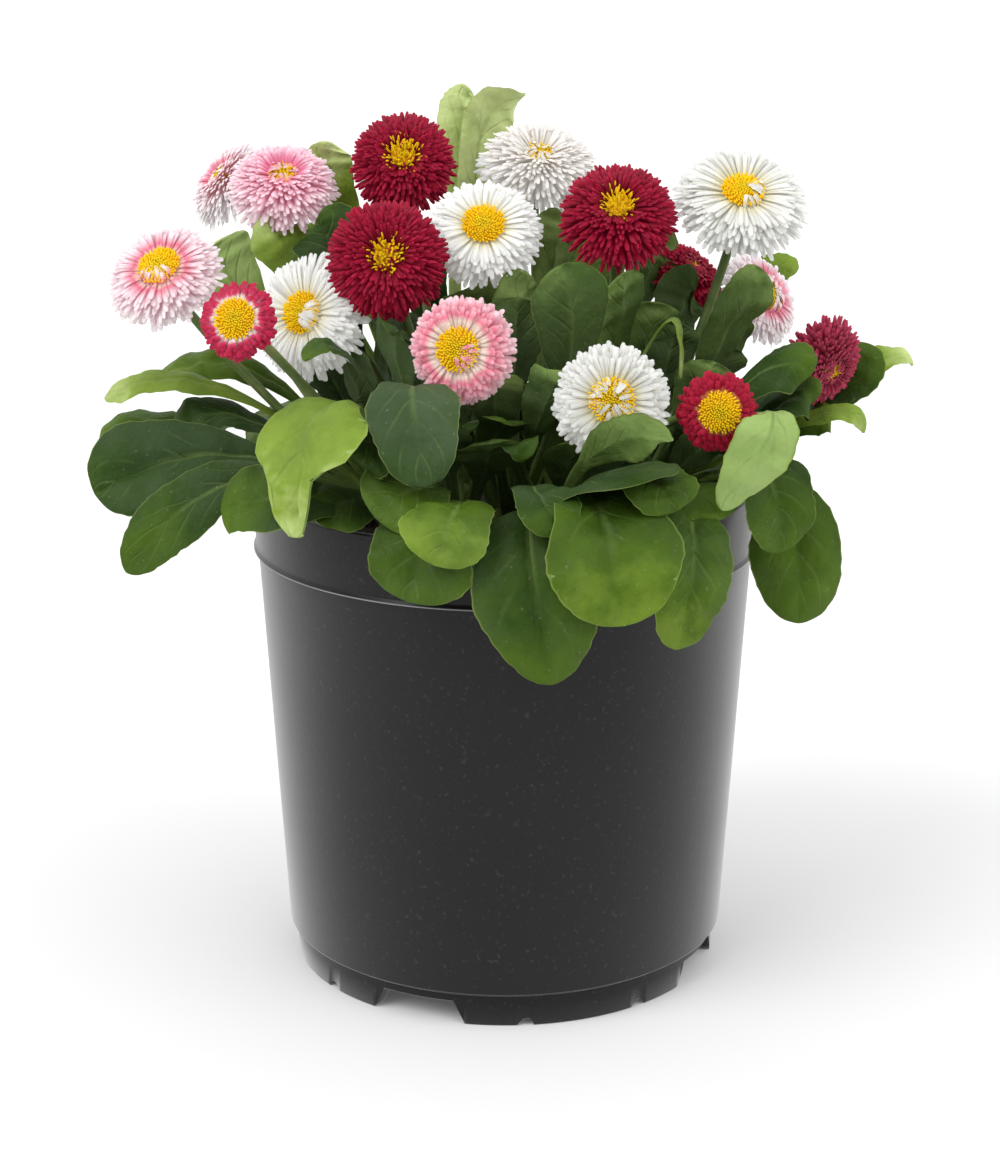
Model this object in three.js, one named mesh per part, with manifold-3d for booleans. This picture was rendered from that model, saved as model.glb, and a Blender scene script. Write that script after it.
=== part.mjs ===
// Potted English daisy: seven leaf tufts and seventeen blooms in a round black nursery pot.
// Millimetres, +Z up. The origin is on the ground, under the middle of the pot.
// Azimuths are in degrees from the front (-Y) toward +X.
import * as THREE from 'three';
import Module from 'manifold-3d';

const wasm = await Module();
wasm.setup();

// Driving dimensions of the pot
const POT_HEIGHT = 118;
const RIM_RADIUS = 60;
const RIM_BAND = 15;
const RIM_STEP = 0.5;
const WALL = 1.4;
const WALL_FOOT_RADIUS = 53.4;
const FOOT_RADIUS = 51.6;
const FOOT_WIDTH = 4.2;
const FOOT_HEIGHT = 8;
const FLOOR_UNDERSIDE = 6;
const FLOOR_TOP = 7.5;
const POT_SIDES = 32;
const FOOT_GAPS = 4;
const FOOT_GAP_AZIMUTH = -23.5;
const FOOT_GAP_ANGLE = 23;
const FOOT_GAP_TOP = 5.5;
const FOOT_END_FLARE = 1.5;
const NOTCH_OFFSETS = [-16, 16];
const NOTCH_RADIUS = 1.7;
const DRAIN_RADIUS = 4.5;
const DRAIN_RING = 30;

// Driving dimensions of the soil, the crowns and the fit between the pieces
const FIT = 0.3;
const HOLE_FIT = 0.39;
const SOIL_TOP = 106;
const SOIL_RELIEF = 1.1;
const SOIL_SIDES = 16;
const CROWN_RADIUS = 6.5;
const CROWN_BOTTOM = 99;
const CROWN_TOP = 112;
const CROWN_SIDES = 8;
const STALK_FOOT = 107;

// Driving dimensions of leaves
const PETIOLE_HALF_WIDTH = 1.6;
const PETIOLE_THICKNESS = 1.8;
const BLADE_THICKNESS = 1.3;
const BLADE_START = 0.3;
const BLADE_FOLD = 0.16;
const LEAF_STATIONS = [0, 0.24, 0.42, 0.56, 0.7, 0.84, 0.95, 1];
const SCALLOP = 0.06;
const EDGE_WAVES = 9;
const SWELL_PEAK = 0.564;

// Driving dimensions of stalks and flower heads
const STALK_RADIUS = 1.1;
const STALK_SIDES = 5;
const STALK_STEPS = 5;
const CUP_RADIUS = 5.2;
const CUP_DEPTH = 4;
const CUP_TOP = -1.8;
const BRACTS = 6;
const CORE_BOTTOM = CUP_TOP + FIT;
const DISC_SIDES = 8;
const DISC_RELIEF = 0.22;
const PETAL_THICKNESS = 0.9;
const PETAL_SAG = 0.1;
const PETAL_ROOT_HEIGHT = 0.9;
const PETAL_RING_STEP = 0.5;
const PETAL_RIDGE = 0.8;
const PETAL_TIP_HALF = 0.27;
const STALK_NECK = 16;
const STALK_RISE = 26;
const SOCKET_STEPS = 2;

const COLOURS = {
  pot: 0x262627,
  soil: 0x2a1d14,
  leaf: 0x4f7a35,
  stalk: 0x6f8f45,
  disc: 0xe9b913,
  crimson: 0x9a0f2c,
  pink: 0xf08fb0,
  white: 0xf4f2f0,
};

const CROWNS = {
  left: [-24, 2],
  front_left: [-11, -13],
  front_right: [11, -12],
  right: [27, 2],
  back_left: [-12, 18],
  back_right: [13, 18],
  centre: [1, 3],
};

// Leaves: tuft, middle of the spine, tip, blade width, roll in degrees about the spine
const LEAVES = [
  ['left', [-64, -14, 129], [-96, -22, 124], 24, -40],
  ['left', [-73, 8, 128], [-97, 6, 126], 15, -20],
  ['left', [-62, -27, 122], [-86, -37, 106], 17, -40],
  ['left', [-60, 12, 140], [-83, 16, 140], 17, -30],
  ['left', [-69, 0, 138], [-94, -2, 139], 12, 25],
  ['left', [-59, -2, 134], [-76, -6, 132], 14, -30],
  ['left', [-56, 14, 158], [-67, 17, 171], 18, -60],
  ['left', [-60, 30, 124], [-80, 44, 112], 20, 0],
  ['front_left', [-40, -38, 124], [-62, -44, 119], 16, -35],
  ['front_left', [-37, -38, 144], [-44, -57, 121], 27, 0],
  ['front_left', [-20, -40, 147], [-16, -61, 129], 23, 0],
  ['front_left', [-21, -46, 131], [-34, -54, 137], 13, -30],
  ['front_left', [-19, -50, 126], [-33, -61, 128], 15, -25],
  ['front_left', [-11, -50, 125], [-17, -67, 118], 16, 0],
  ['front_left', [-15, -60, 121], [-24, -69, 104], 22, 0],
  ['front_left', [-34, -20, 150], [-47, -28, 155], 13, -20],
  ['front_left', [-24, -24, 149], [-25, -28, 163], 15, 0],
  ['front_left', [-5, -31, 127], [-4, -45, 137], 14, 0],
  ['front_left', [-13, -32, 130], [-16, -42, 141], 13, 0],
  ['front_right', [3, -61, 122], [8, -71, 90], 27, 0],
  ['front_right', [6, -55, 128], [14, -65, 123], 15, 0],
  ['front_right', [20, -59, 125], [25, -74, 105], 31, 0],
  ['front_right', [20, -60, 136], [33, -64, 145], 17, 25],
  ['front_right', [18, -53, 130], [39, -52, 134], 14, 20],
  ['front_right', [29, -55, 130], [42, -62, 128], 14, 20],
  ['front_right', [-1, -40, 132], [9, -46, 133], 10, 0],
  ['front_right', [36, -14, 158], [40, -18, 147], 5, 0],
  ['front_right', [13, -34, 127], [17, -44, 136], 14, 0],
  ['right', [43, -50, 122], [39, -62, 95], 20, -15],
  ['right', [60, -22, 123], [69, -33, 92], 24, 40],
  ['right', [58, -36, 128], [68, -44, 113], 18, 15],
  ['right', [53, -43, 126], [61, -49, 146], 14, 45],
  ['right', [47, -12, 148], [58, -16, 169], 15, 50],
  ['right', [59, -24, 146], [69, -31, 153], 15, 45],
  ['right', [58, -20, 139], [71, -28, 143], 13, 35],
  ['right', [74, 6, 136], [86, 10, 154], 14, 55],
  ['right', [82, 12, 142], [97, 14, 147], 12, 35],
  ['right', [72, -20, 130], [84, -25, 131], 9, 25],
  ['right', [72, -10, 127], [85, -12, 130], 12, 35],
  ['right', [39, 5, 150], [43, 8, 162], 17, 0],
  ['right', [40, -27, 126], [51, -31, 135], 15, 50],
  ['right', [62, 26, 126], [82, 40, 114], 22, 0],
  ['centre', [15, -20, 147], [13, -25, 172], 21, 0],
  ['centre', [24, -13, 150], [24, -14, 169], 19, 0],
  ['centre', [7, -32, 138], [13, -36, 151], 13, 0],
  ['centre', [-2, -27, 137], [-2, -28, 149], 14, 0],
  ['centre', [1, -6, 148], [7, -5, 166], 16, 0],
  ['centre', [-6, -1, 150], [-8, 0, 164], 14, 0],
  ['centre', [10, 8, 160], [14, 11, 178], 15, 0],
  ['centre', [33, -4, 144], [33, -6, 157], 10, 0],
  ['back_left', [-36, 30, 172], [-39, 31, 197], 13, -60],
  ['back_left', [-42, 11, 160], [-46, 11, 173], 18, -60],
  ['back_left', [-43, 42, 155], [-54, 50, 167], 16, -30],
  ['back_left', [-12, 38, 180], [-9, 42, 205], 13, 0],
  ['back_left', [-20, 61, 124], [-26, 76, 98], 25, 0],
  ['back_left', [-45, 45, 126], [-62, 60, 112], 22, 0],
  ['back_left', [-28, 44, 150], [-34, 60, 164], 17, 0],
  ['back_right', [-3, 35, 184], [7, 38, 207], 13, 0],
  ['back_right', [54, 36, 150], [72, 38, 161], 13, 40],
  ['back_right', [32, 22, 156], [37, 24, 169], 15, 0],
  ['back_right', [8, 62, 123], [10, 75, 92], 25, 0],
  ['back_right', [38, 50, 126], [52, 66, 112], 23, 0],
  ['back_right', [20, 42, 150], [24, 58, 168], 17, 0],
];

// Forms of flower head: radius of the yellow disc, height of the core, number of petals in a
// ring, and for each ring its reach as a share of the head's radius, its slope in degrees and
// the share of the reach at which neighbouring petals part
const FORMS = {
  open: { disc: 4.6, height: 2.4, petals: 14, rings: [[1, -3, 0.52], [0.88, 14, 0.56]] },
  full: { disc: 2.9, height: 3.2, petals: 12, rings: [[1, -3, 0.5], [0.92, 17, 0.5], [0.72, 44, 0.56]] },
  small: { disc: 4.2, height: 2.2, petals: 14, rings: [[1, -2, 0.62], [0.9, 15, 0.64]] },
  closed: { disc: 2.9, height: 3.2, petals: 12, rings: [[0.95, 10, 0.5], [1, 36, 0.5], [0.9, 60, 0.6]] },
};

// Blooms: centre of the head, [azimuth, elevation] it faces, radius, form, colour, foot of stalk
const BLOOMS = [
  { head: [-68, 38, 184], facing: [-100, 35], radius: 12, form: 'full', colour: 'pink', foot: [-23, 5],
    neck: 8, lean: [0, 16] },
  { head: [-53, 18, 186], facing: [5, 50], radius: 13.5, form: 'full', colour: 'pink', foot: [-14, 20] },
  { head: [-78, -8, 169], facing: [-20, 40], radius: 13.5, form: 'open', colour: 'pink', foot: [-27, 2] },
  { head: [-60, -27, 161], facing: [-10, 20], radius: 9, form: 'small', colour: 'crimson', foot: [-23, -1],
    neck: 6, lean: [0, -14] },
  { head: [-46, -8, 159], facing: [-15, 25], radius: 13, form: 'open', colour: 'white', foot: [-13, -11] },
  { head: [-24, 14, 191], facing: [0, 30], radius: 12.5, form: 'full', colour: 'crimson', foot: [-11, 15] },
  { head: [-27, -14, 173], facing: [0, 20], radius: 14, form: 'full', colour: 'crimson', foot: [-9, -11] },
  { head: [-5, -2, 178], facing: [0, 30], radius: 13.5, form: 'open', colour: 'white', foot: [-1, 4] },
  { head: [8, 24, 190], facing: [10, 60], radius: 14.5, form: 'full', colour: 'white', foot: [11, 20] },
  { head: [26, -4, 182], facing: [0, 35], radius: 14, form: 'full', colour: 'crimson', foot: [25, 5] },
  { head: [55, 2, 185], facing: [5, 40], radius: 15.5, form: 'open', colour: 'white', foot: [26, -1] },
  { head: [45, 31, 162], facing: [60, 50], radius: 10.5, form: 'full', colour: 'crimson', foot: [13, 21] },
  { head: [63, 24, 158], facing: [50, 30], radius: 11.5, form: 'open', colour: 'white', foot: [15, 17] },
  { head: [-10, -36, 156], facing: [0, 10], radius: 12.5, form: 'open', colour: 'pink', foot: [2, 0] },
  { head: [23, -48, 147], facing: [0, 15], radius: 13.5, form: 'open', colour: 'white', foot: [10, -9] },
  { head: [46, -45, 144], facing: [5, 10], radius: 9.3, form: 'small', colour: 'crimson', foot: [13, -12] },
  { head: [75, -8, 148], facing: [50, -25], radius: 11, form: 'closed', colour: 'crimson', foot: [30, 1] },
];

// A repeatable number from 0 to 1 for a whole number
function chance(seed) {
  const value = Math.sin(seed * 12.9898 + 4.1414) * 43758.5453;
  return value - Math.floor(value);
}

function radians(degrees) {
  return THREE.MathUtils.degToRad(degrees);
}

// The point at a radius, azimuth and height about the Z axis
function around(radius, azimuth, height) {
  const angle = radians(azimuth);
  return new THREE.Vector3(radius * Math.sin(angle), -radius * Math.cos(angle), height);
}

// A solid from points and triangles, turned outside out if its volume comes out negative
function solidFrom(points, faces) {
  let volume = 0;
  for (const [a, b, c] of faces) {
    volume += points[a].dot(points[b].clone().cross(points[c]));
  }
  const outward = volume > 0 ? faces : faces.map(([a, b, c]) => [a, c, b]);
  return new wasm.Manifold(new wasm.Mesh({
    numProp: 3,
    vertProperties: new Float32Array(points.flatMap((point) => point.toArray())),
    triVerts: new Uint32Array(outward.flat()),
  }));
}

// A closed skin over rings of points. A ring of one point is a pole, and other end rings are
// capped. Neighbouring strips mirror their diagonals, so a blade splits alike on both faces.
function skin(rings) {
  const points = rings.flat();
  const starts = [];
  rings.reduce((count, ring) => (starts.push(count), count + ring.length), 0);
  const faces = [];
  for (let i = 0; i + 1 < rings.length; i += 1) {
    const sides = Math.max(rings[i].length, rings[i + 1].length);
    const at = (ring, side) => starts[ring] + (side % sides) % rings[ring].length;
    for (let side = 0; side < sides; side += 1) {
      const [a, b] = [at(i, side), at(i, side + 1)];
      const [d, c] = [at(i + 1, side), at(i + 1, side + 1)];
      const halves = side % 2 === 0 ? [[a, b, c], [a, c, d]] : [[a, b, d], [b, c, d]];
      faces.push(...halves.filter(([p, q, r]) => p !== q && q !== r && r !== p));
    }
  }
  const last = rings.length - 1;
  for (let side = 1; side + 1 < rings[0].length; side += 1) {
    faces.push([starts[0], starts[0] + side + 1, starts[0] + side]);
  }
  for (let side = 1; side + 1 < rings[last].length; side += 1) {
    faces.push([starts[last], starts[last] + side, starts[last] + side + 1]);
  }
  return solidFrom(points, faces);
}

// A body of revolution about Z from [radius, height] pairs
function lathe(profile, sides) {
  return skin(profile.map(([radius, height]) => {
    if (radius === 0) return [new THREE.Vector3(0, 0, height)];
    return Array.from({ length: sides }, (_, k) => around(radius, (360 * k) / sides, height));
  }));
}

function join(solids) {
  return solids.reduce((whole, next) => whole.add(next));
}

function cut(body, tools) {
  return tools.reduce((rest, tool) => rest.subtract(tool), body);
}

// A straight bar with the same section at both ends, given as two rings of points
function bar(section, travel) {
  return skin([section, section.map((point) => point.clone().add(travel))]);
}

// Straight line through two [x, y] pairs, read at x
function lineAt([x0, y0], [x1, y1], x) {
  return y0 + ((y1 - y0) * (x - x0)) / (x1 - x0);
}

function wallRadius(height) {
  const bandFoot = POT_HEIGHT - RIM_BAND;
  return lineAt([FOOT_HEIGHT, WALL_FOOT_RADIUS], [bandFoot, RIM_RADIUS - 2 * RIM_STEP], height);
}

function potSolid() {
  const bandFoot = POT_HEIGHT - RIM_BAND;
  const shell = lathe([
    [0, FLOOR_UNDERSIDE],
    [FOOT_RADIUS - FOOT_WIDTH, FLOOR_UNDERSIDE],
    [FOOT_RADIUS - FOOT_WIDTH, 0],
    [FOOT_RADIUS, 0],
    [FOOT_RADIUS, FOOT_HEIGHT - RIM_STEP],
    [WALL_FOOT_RADIUS, FOOT_HEIGHT + RIM_STEP],
    [wallRadius(bandFoot), bandFoot],
    [RIM_RADIUS - RIM_STEP, bandFoot + RIM_STEP],
    [RIM_RADIUS, POT_HEIGHT - RIM_STEP],
    [RIM_RADIUS - RIM_STEP, POT_HEIGHT],
    [RIM_RADIUS - WALL, POT_HEIGHT],
    [wallRadius(bandFoot) - WALL, bandFoot],
    [wallRadius(FLOOR_TOP) - WALL, FLOOR_TOP],
    [0, FLOOR_TOP],
  ], POT_SIDES);
  return cut(shell, [...footGapTools(), ...notchTools(), ...drainTools()]);
}

// Wedges that part the foot ring into feet with slanted ends
function footGapTools() {
  const [inner, outer] = [FOOT_RADIUS - 2 * FOOT_WIDTH, RIM_RADIUS];
  return Array.from({ length: FOOT_GAPS }, (_, k) => {
    const middle = FOOT_GAP_AZIMUTH + (360 * k) / FOOT_GAPS;
    const ring = (half, height) => [
      around(inner, middle - half, height),
      around(inner, middle + half, height),
      around(outer, middle + half, height),
      around(outer, middle - half, height),
    ];
    const half = FOOT_GAP_ANGLE / 2;
    return skin([ring(half + FOOT_END_FLARE, -1), ring(half - FOOT_END_FLARE, FOOT_GAP_TOP)]);
  });
}

// Small arched drain notches in the bottom of each foot
function notchTools() {
  const tools = [];
  for (let k = 0; k < FOOT_GAPS; k += 1) {
    const footMiddle = FOOT_GAP_AZIMUTH + (360 * (k + 0.5)) / FOOT_GAPS;
    for (const offset of NOTCH_OFFSETS) {
      const out = around(1, footMiddle + offset, 0);
      const along = new THREE.Vector3(0, 0, 1).cross(out);
      const start = out.clone().multiplyScalar(FOOT_RADIUS - 2 * FOOT_WIDTH);
      const section = [0, 1, 2, 3, 4, 5].map((corner) => {
        const angle = (corner * Math.PI) / 3;
        const point = start.clone().addScaledVector(along, NOTCH_RADIUS * Math.cos(angle));
        return point.setZ(NOTCH_RADIUS * Math.sin(angle));
      });
      tools.push(bar(section, out.clone().multiplyScalar(4 * FOOT_WIDTH)));
    }
  }
  return tools;
}

// Round holes through the floor: one in the middle and one inside each foot gap
function drainTools() {
  const centres = [new THREE.Vector3()];
  for (let k = 0; k < FOOT_GAPS; k += 1) {
    centres.push(around(DRAIN_RING, FOOT_GAP_AZIMUTH + (360 * k) / FOOT_GAPS, 0));
  }
  return centres.map((centre) => {
    const section = Array.from({ length: 8 }, (_, corner) => (
      around(DRAIN_RADIUS, 45 * corner, FLOOR_UNDERSIDE - 1).add(centre)
    ));
    return bar(section, new THREE.Vector3(0, 0, 3));
  });
}

// The root ball: a plug that follows the pot's inside, with a crumbly top and a hole per crown
function soilSolid() {
  const lumpy = (radius, row) => Array.from({ length: SOIL_SIDES }, (_, k) => {
    const height = SOIL_TOP + SOIL_RELIEF * (2 * chance(31 * row + k) - 1);
    return around(radius, (360 * k) / SOIL_SIDES, height);
  });
  const level = (radius, height) => Array.from({ length: SOIL_SIDES }, (_, k) => (
    around(radius, (360 * k) / SOIL_SIDES, height)
  ));
  const bottom = FLOOR_TOP + FIT;
  const bandFoot = POT_HEIGHT - RIM_BAND;
  const inset = WALL + HOLE_FIT;
  const plug = skin([
    [new THREE.Vector3(0, 0, bottom)],
    level(wallRadius(bottom) - inset, bottom),
    level(wallRadius(bandFoot) - inset, bandFoot),
    lumpy(wallRadius(bandFoot) - inset, 6),
    lumpy(48, 5),
    lumpy(36, 4),
    lumpy(22, 3),
    lumpy(9, 2),
    [new THREE.Vector3(0, 0, SOIL_TOP)],
  ]);
  const holes = Object.values(CROWNS).map(([x, y]) => (
    lathe([
      [0, CROWN_BOTTOM - FIT],
      [CROWN_RADIUS + HOLE_FIT, CROWN_BOTTOM - FIT],
      [CROWN_RADIUS + HOLE_FIT, CROWN_TOP],
      [0, CROWN_TOP],
    ], CROWN_SIDES).translate(x, y, 0)
  ));
  return cut(plug, holes);
}

// Half width of a leaf at a place t along its spine, from the petiole to the blunt tip
function leafHalfWidth(t, width) {
  const u = Math.max(0, (t - BLADE_START) / (1 - BLADE_START));
  const swell = (u ** 0.9 * Math.sqrt(Math.max(0, 1 - u ** 2.6))) / SWELL_PEAK;
  const narrow = PETIOLE_HALF_WIDTH * (1 - 0.75 * t ** 6);
  return Math.max(narrow, (width / 2) * swell);
}

// The leaf's spine is a quadratic curve through root, middle and tip. The blade is folded up
// along it, and each edge waves by its own phase.
function leafSolid(root, middle, tip, width, roll, seed) {
  const control = middle.clone().multiplyScalar(2).addScaledVector(root, -0.5).addScaledVector(tip, -0.5);
  const spine = new THREE.QuadraticBezierCurve3(root, control, tip);
  const outward = tip.clone().sub(root).setZ(0).normalize();
  const level = new THREE.Vector3(0, 0, 1).cross(outward);
  const wave = 0.1 + 0.14 * chance(seed);
  const phases = [2 * Math.PI * chance(seed + 1), 2 * Math.PI * chance(seed + 2)];
  const rings = LEAF_STATIONS.map((t, k) => {
    const along = spine.getTangent(t);
    const side = level.clone().addScaledVector(along, -level.dot(along)).normalize();
    side.applyAxisAngle(along, radians(roll));
    const upper = along.clone().cross(side);
    const at = spine.getPoint(t);
    const scallop = k > 2 && k < 7 ? 1 + SCALLOP * (k % 2 === 0 ? 1 : -1) : 1;
    const half = leafHalfWidth(t, width) * scallop;
    const thick = t < BLADE_START ? PETIOLE_THICKNESS : BLADE_THICKNESS;
    const blade = Math.max(0, half - PETIOLE_HALF_WIDTH);
    const lift = (phase) => blade * (BLADE_FOLD + wave * Math.sin(EDGE_WAVES * t + phase));
    const edge = (sign, phase) => (
      at.clone().addScaledVector(side, sign * half).addScaledVector(upper, lift(phase))
    );
    return [
      edge(-1, phases[0]),
      at.clone().addScaledVector(upper, thick / 2),
      edge(1, phases[1]),
      at.clone().addScaledVector(upper, -thick / 2),
    ];
  });
  return skin(rings);
}

// A tuft: a crown that stands in the soil, with its leaves fused in one body
function tuftSolid(name) {
  const [x, y] = CROWNS[name];
  const crown = lathe([
    [0, CROWN_BOTTOM],
    [CROWN_RADIUS, CROWN_BOTTOM],
    [CROWN_RADIUS, CROWN_TOP - 3],
    [CROWN_RADIUS - 2, CROWN_TOP],
    [0, CROWN_TOP],
  ], CROWN_SIDES).translate(x, y, 0);
  const leaves = LEAVES.map(([tuft, ...rest], index) => ({ tuft, rest, index }));
  const blades = leaves.filter(({ tuft }) => tuft === name).map(({ rest, index }) => {
    const [middle, tip, width, roll] = rest;
    const toTip = new THREE.Vector3(tip[0] - x, tip[1] - y, 0).normalize();
    const root = new THREE.Vector3(x, y, CROWN_TOP - 3).addScaledVector(toTip, CROWN_RADIUS - 3);
    return leafSolid(root, new THREE.Vector3(...middle), new THREE.Vector3(...tip), width, roll, 7 * index);
  });
  return join([crown, ...blades]);
}

// Turns +Z toward the azimuth and elevation that a head faces, and moves to its centre
function headPlace({ head, facing }) {
  const elevation = radians(facing[1]);
  const normal = around(Math.cos(elevation), facing[0], Math.sin(elevation));
  const across = new THREE.Vector3(0, 0, 1).cross(normal).normalize();
  const upward = normal.clone().cross(across);
  return new THREE.Matrix4().makeBasis(across, upward, normal).setPosition(...head);
}

// The curve of a stalk: up out of the crown, then into the back of the head along its axis
function stalkCurve(bloom) {
  const place = headPlace(bloom);
  const end = new THREE.Vector3(0, 0, CUP_TOP - CUP_DEPTH + 1).applyMatrix4(place);
  const neck = bloom.neck ?? STALK_NECK;
  const behind = new THREE.Vector3(0, 0, CUP_TOP - CUP_DEPTH - neck).applyMatrix4(place);
  const start = new THREE.Vector3(...bloom.foot, STALK_FOOT);
  const [leanX, leanY] = bloom.lean ?? [0, 0];
  const rise = start.clone().lerp(behind, 0.3).setZ(STALK_FOOT + STALK_RISE);
  rise.add(new THREE.Vector3(leanX, leanY, 0));
  return new THREE.CubicBezierCurve3(start, rise, behind, end);
}

// A five-sided tube along the first steps of a stalk's curve
function stalkTube(bloom, radius, steps) {
  const curve = stalkCurve(bloom);
  const rings = Array.from({ length: steps + 1 }, (_, step) => {
    const t = step / STALK_STEPS;
    const along = curve.getTangent(t);
    const side = new THREE.Vector3(1, 0, 0).cross(along).normalize();
    return Array.from({ length: STALK_SIDES }, (_unused, k) => {
      const spoke = side.clone().applyAxisAngle(along, (2 * Math.PI * k) / STALK_SIDES);
      return curve.getPoint(t).addScaledVector(spoke, radius);
    });
  });
  return skin(rings);
}

// The cup of green bracts under a head, with a pointed rim
function cupRings() {
  const sides = 2 * BRACTS;
  const ring = (radius, height, point) => Array.from({ length: sides }, (_, k) => (
    around(radius, (360 * k) / sides, height + (k % 2 === 0 ? point : 0))
  ));
  return [
    [new THREE.Vector3(0, 0, CUP_TOP - CUP_DEPTH)],
    ring(0.75 * CUP_RADIUS, CUP_TOP - 0.6 * CUP_DEPTH, 0),
    ring(CUP_RADIUS, CUP_TOP - 1.4, 1.4),
    [new THREE.Vector3(0, 0, CUP_TOP)],
  ];
}

function stalkSolid(bloom) {
  const place = headPlace(bloom);
  const cup = cupRings().map((ring) => ring.map((point) => point.applyMatrix4(place)));
  return stalkTube(bloom, STALK_RADIUS, STALK_STEPS).add(skin(cup));
}

// The petals of a head as one skin about +Z, from the flat underside up to the seat of the
// disc. Each ring holds the same number of blunt straps, parted by valleys, and is turned half
// a petal from the ring below.
function raysSolid({ form, radius }, seed) {
  const { disc, height, petals, rings } = FORMS[form];
  const points = [new THREE.Vector3(0, 0, CORE_BOTTOM)];
  const faces = [];
  const ringOf = (pointAt) => Array.from({ length: petals }, (_, k) => points.push(pointAt(k)) - 1);
  const turned = (ring, k) => ring[(k + petals) % petals];
  const azimuthOf = (k) => (360 * k) / petals;

  // Joins a lower ring to the upper one, whose points lie between: half a step on when shifted
  const band = (lower, upper, shifted) => {
    for (let k = 0; k < petals; k += 1) {
      const between = shifted ? k - 1 : k;
      faces.push([turned(lower, k - 1), lower[k], turned(upper, between)]);
      faces.push([turned(upper, between), lower[k], turned(upper, between + 1)]);
    }
  };

  let below = ringOf((k) => around(CUP_RADIUS - FIT, azimuthOf(k + 1), CORE_BOTTOM));
  for (let k = 0; k < petals; k += 1) faces.push([0, below[k], turned(below, k - 1)]);
  rings.forEach(([share, slope, parting], row) => {
    const half = 0.5 * (row % 2);
    const reach = radius * share;
    const rootHeight = CORE_BOTTOM + PETAL_ROOT_HEIGHT + PETAL_RING_STEP * row;
    const place = (azimuth, distance, offset) => {
      const sag = PETAL_SAG * reach * (distance / reach) ** 3;
      const height = rootHeight + distance * Math.sin(radians(slope)) - sag;
      return around(distance * Math.cos(radians(slope)), azimuth, height + offset);
    };
    const draw = (k) => chance(seed + 97 * row + k) - 0.5;
    const valley = (k, offset) => place(azimuthOf(k + 0.5 + half), parting * reach, offset);
    const tip = (k, across) => (
      place(azimuthOf(k + half + across), reach * (1 + 0.1 * draw(k)), 0.9 * draw(k + 50))
    );
    const under = ringOf((k) => valley(k, -0.5 * PETAL_THICKNESS));
    const over = ringOf((k) => valley(k, 0.5 * PETAL_THICKNESS));
    const ridge = ringOf((k) => place(azimuthOf(k + half), PETAL_RIDGE * reach, 0.4 * PETAL_THICKNESS));
    const tipsBefore = ringOf((k) => tip(k, -PETAL_TIP_HALF));
    const tipsAfter = ringOf((k) => tip(k, PETAL_TIP_HALF));
    band(below, under, row % 2 === 1);
    for (let k = 0; k < petals; k += 1) {
      const [overBefore, overAfter] = [turned(over, k - 1), over[k]];
      const [underBefore, underAfter] = [turned(under, k - 1), under[k]];
      faces.push([overAfter, overBefore, ridge[k]]);
      faces.push([overBefore, tipsBefore[k], ridge[k]]);
      faces.push([ridge[k], tipsBefore[k], tipsAfter[k]]);
      faces.push([overAfter, ridge[k], tipsAfter[k]]);
      faces.push([underBefore, underAfter, tipsAfter[k]]);
      faces.push([underBefore, tipsAfter[k], tipsBefore[k]]);
      faces.push([underBefore, tipsBefore[k], overBefore]);
      faces.push([overAfter, tipsAfter[k], underAfter]);
    }
    below = over;
  });

  const top = CORE_BOTTOM + height;
  const seatShift = rings.length % 2 === 1;
  const seat = ringOf((k) => around(disc + 0.5, azimuthOf(k + (seatShift ? 1 : 0.5)), top));
  band(below, seat, seatShift);
  const middle = points.push(new THREE.Vector3(0, 0, top)) - 1;
  for (let k = 0; k < petals; k += 1) faces.push([middle, turned(seat, k - 1), seat[k]]);
  return solidFrom(points, faces);
}

// The yellow middle: a low dome whose florets stand up and down in turn
function discSolid({ form }) {
  const { disc, height } = FORMS[form];
  const foot = CORE_BOTTOM + height + FIT;
  const ring = (radius, level, turn) => Array.from({ length: DISC_SIDES }, (_, k) => (
    around(radius, (360 * (k + turn)) / DISC_SIDES, level + (k % 2 === 0 ? DISC_RELIEF : -DISC_RELIEF))
  ));
  const flat = Array.from({ length: DISC_SIDES }, (_, k) => around(disc, (360 * k) / DISC_SIDES, foot));
  return skin([
    [new THREE.Vector3(0, 0, foot)],
    flat,
    ring(disc, foot + 0.8, 0),
    ring(0.62 * disc, foot + 1.9, 0.5),
    [new THREE.Vector3(0, 0, foot + 2.2)],
  ]);
}

function meshOf(name, solid, colour, roughness) {
  const { vertProperties, triVerts } = solid.getMesh();
  const geometry = new THREE.BufferGeometry();
  geometry.setAttribute('position', new THREE.BufferAttribute(vertProperties, 3));
  geometry.setIndex(new THREE.BufferAttribute(triVerts, 1));
  geometry.computeVertexNormals();
  const material = new THREE.MeshStandardMaterial({ color: colour, roughness, metalness: 0 });
  const mesh = new THREE.Mesh(geometry, material);
  mesh.name = name;
  return mesh;
}

const daisy = new THREE.Group();
daisy.add(meshOf('pot', potSolid(), COLOURS.pot, 0.55));
daisy.add(meshOf('soil', soilSolid(), COLOURS.soil, 1));

// Each tuft is cut clear round the lower part of the stalks that rise among its leaves
const sockets = BLOOMS.map((bloom) => stalkTube(bloom, STALK_RADIUS + HOLE_FIT, SOCKET_STEPS));
for (const name of Object.keys(CROWNS)) {
  const tuft = cut(tuftSolid(name), sockets);
  daisy.add(meshOf(`tuft_${name}`, tuft, COLOURS.leaf, 0.6));
}

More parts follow.
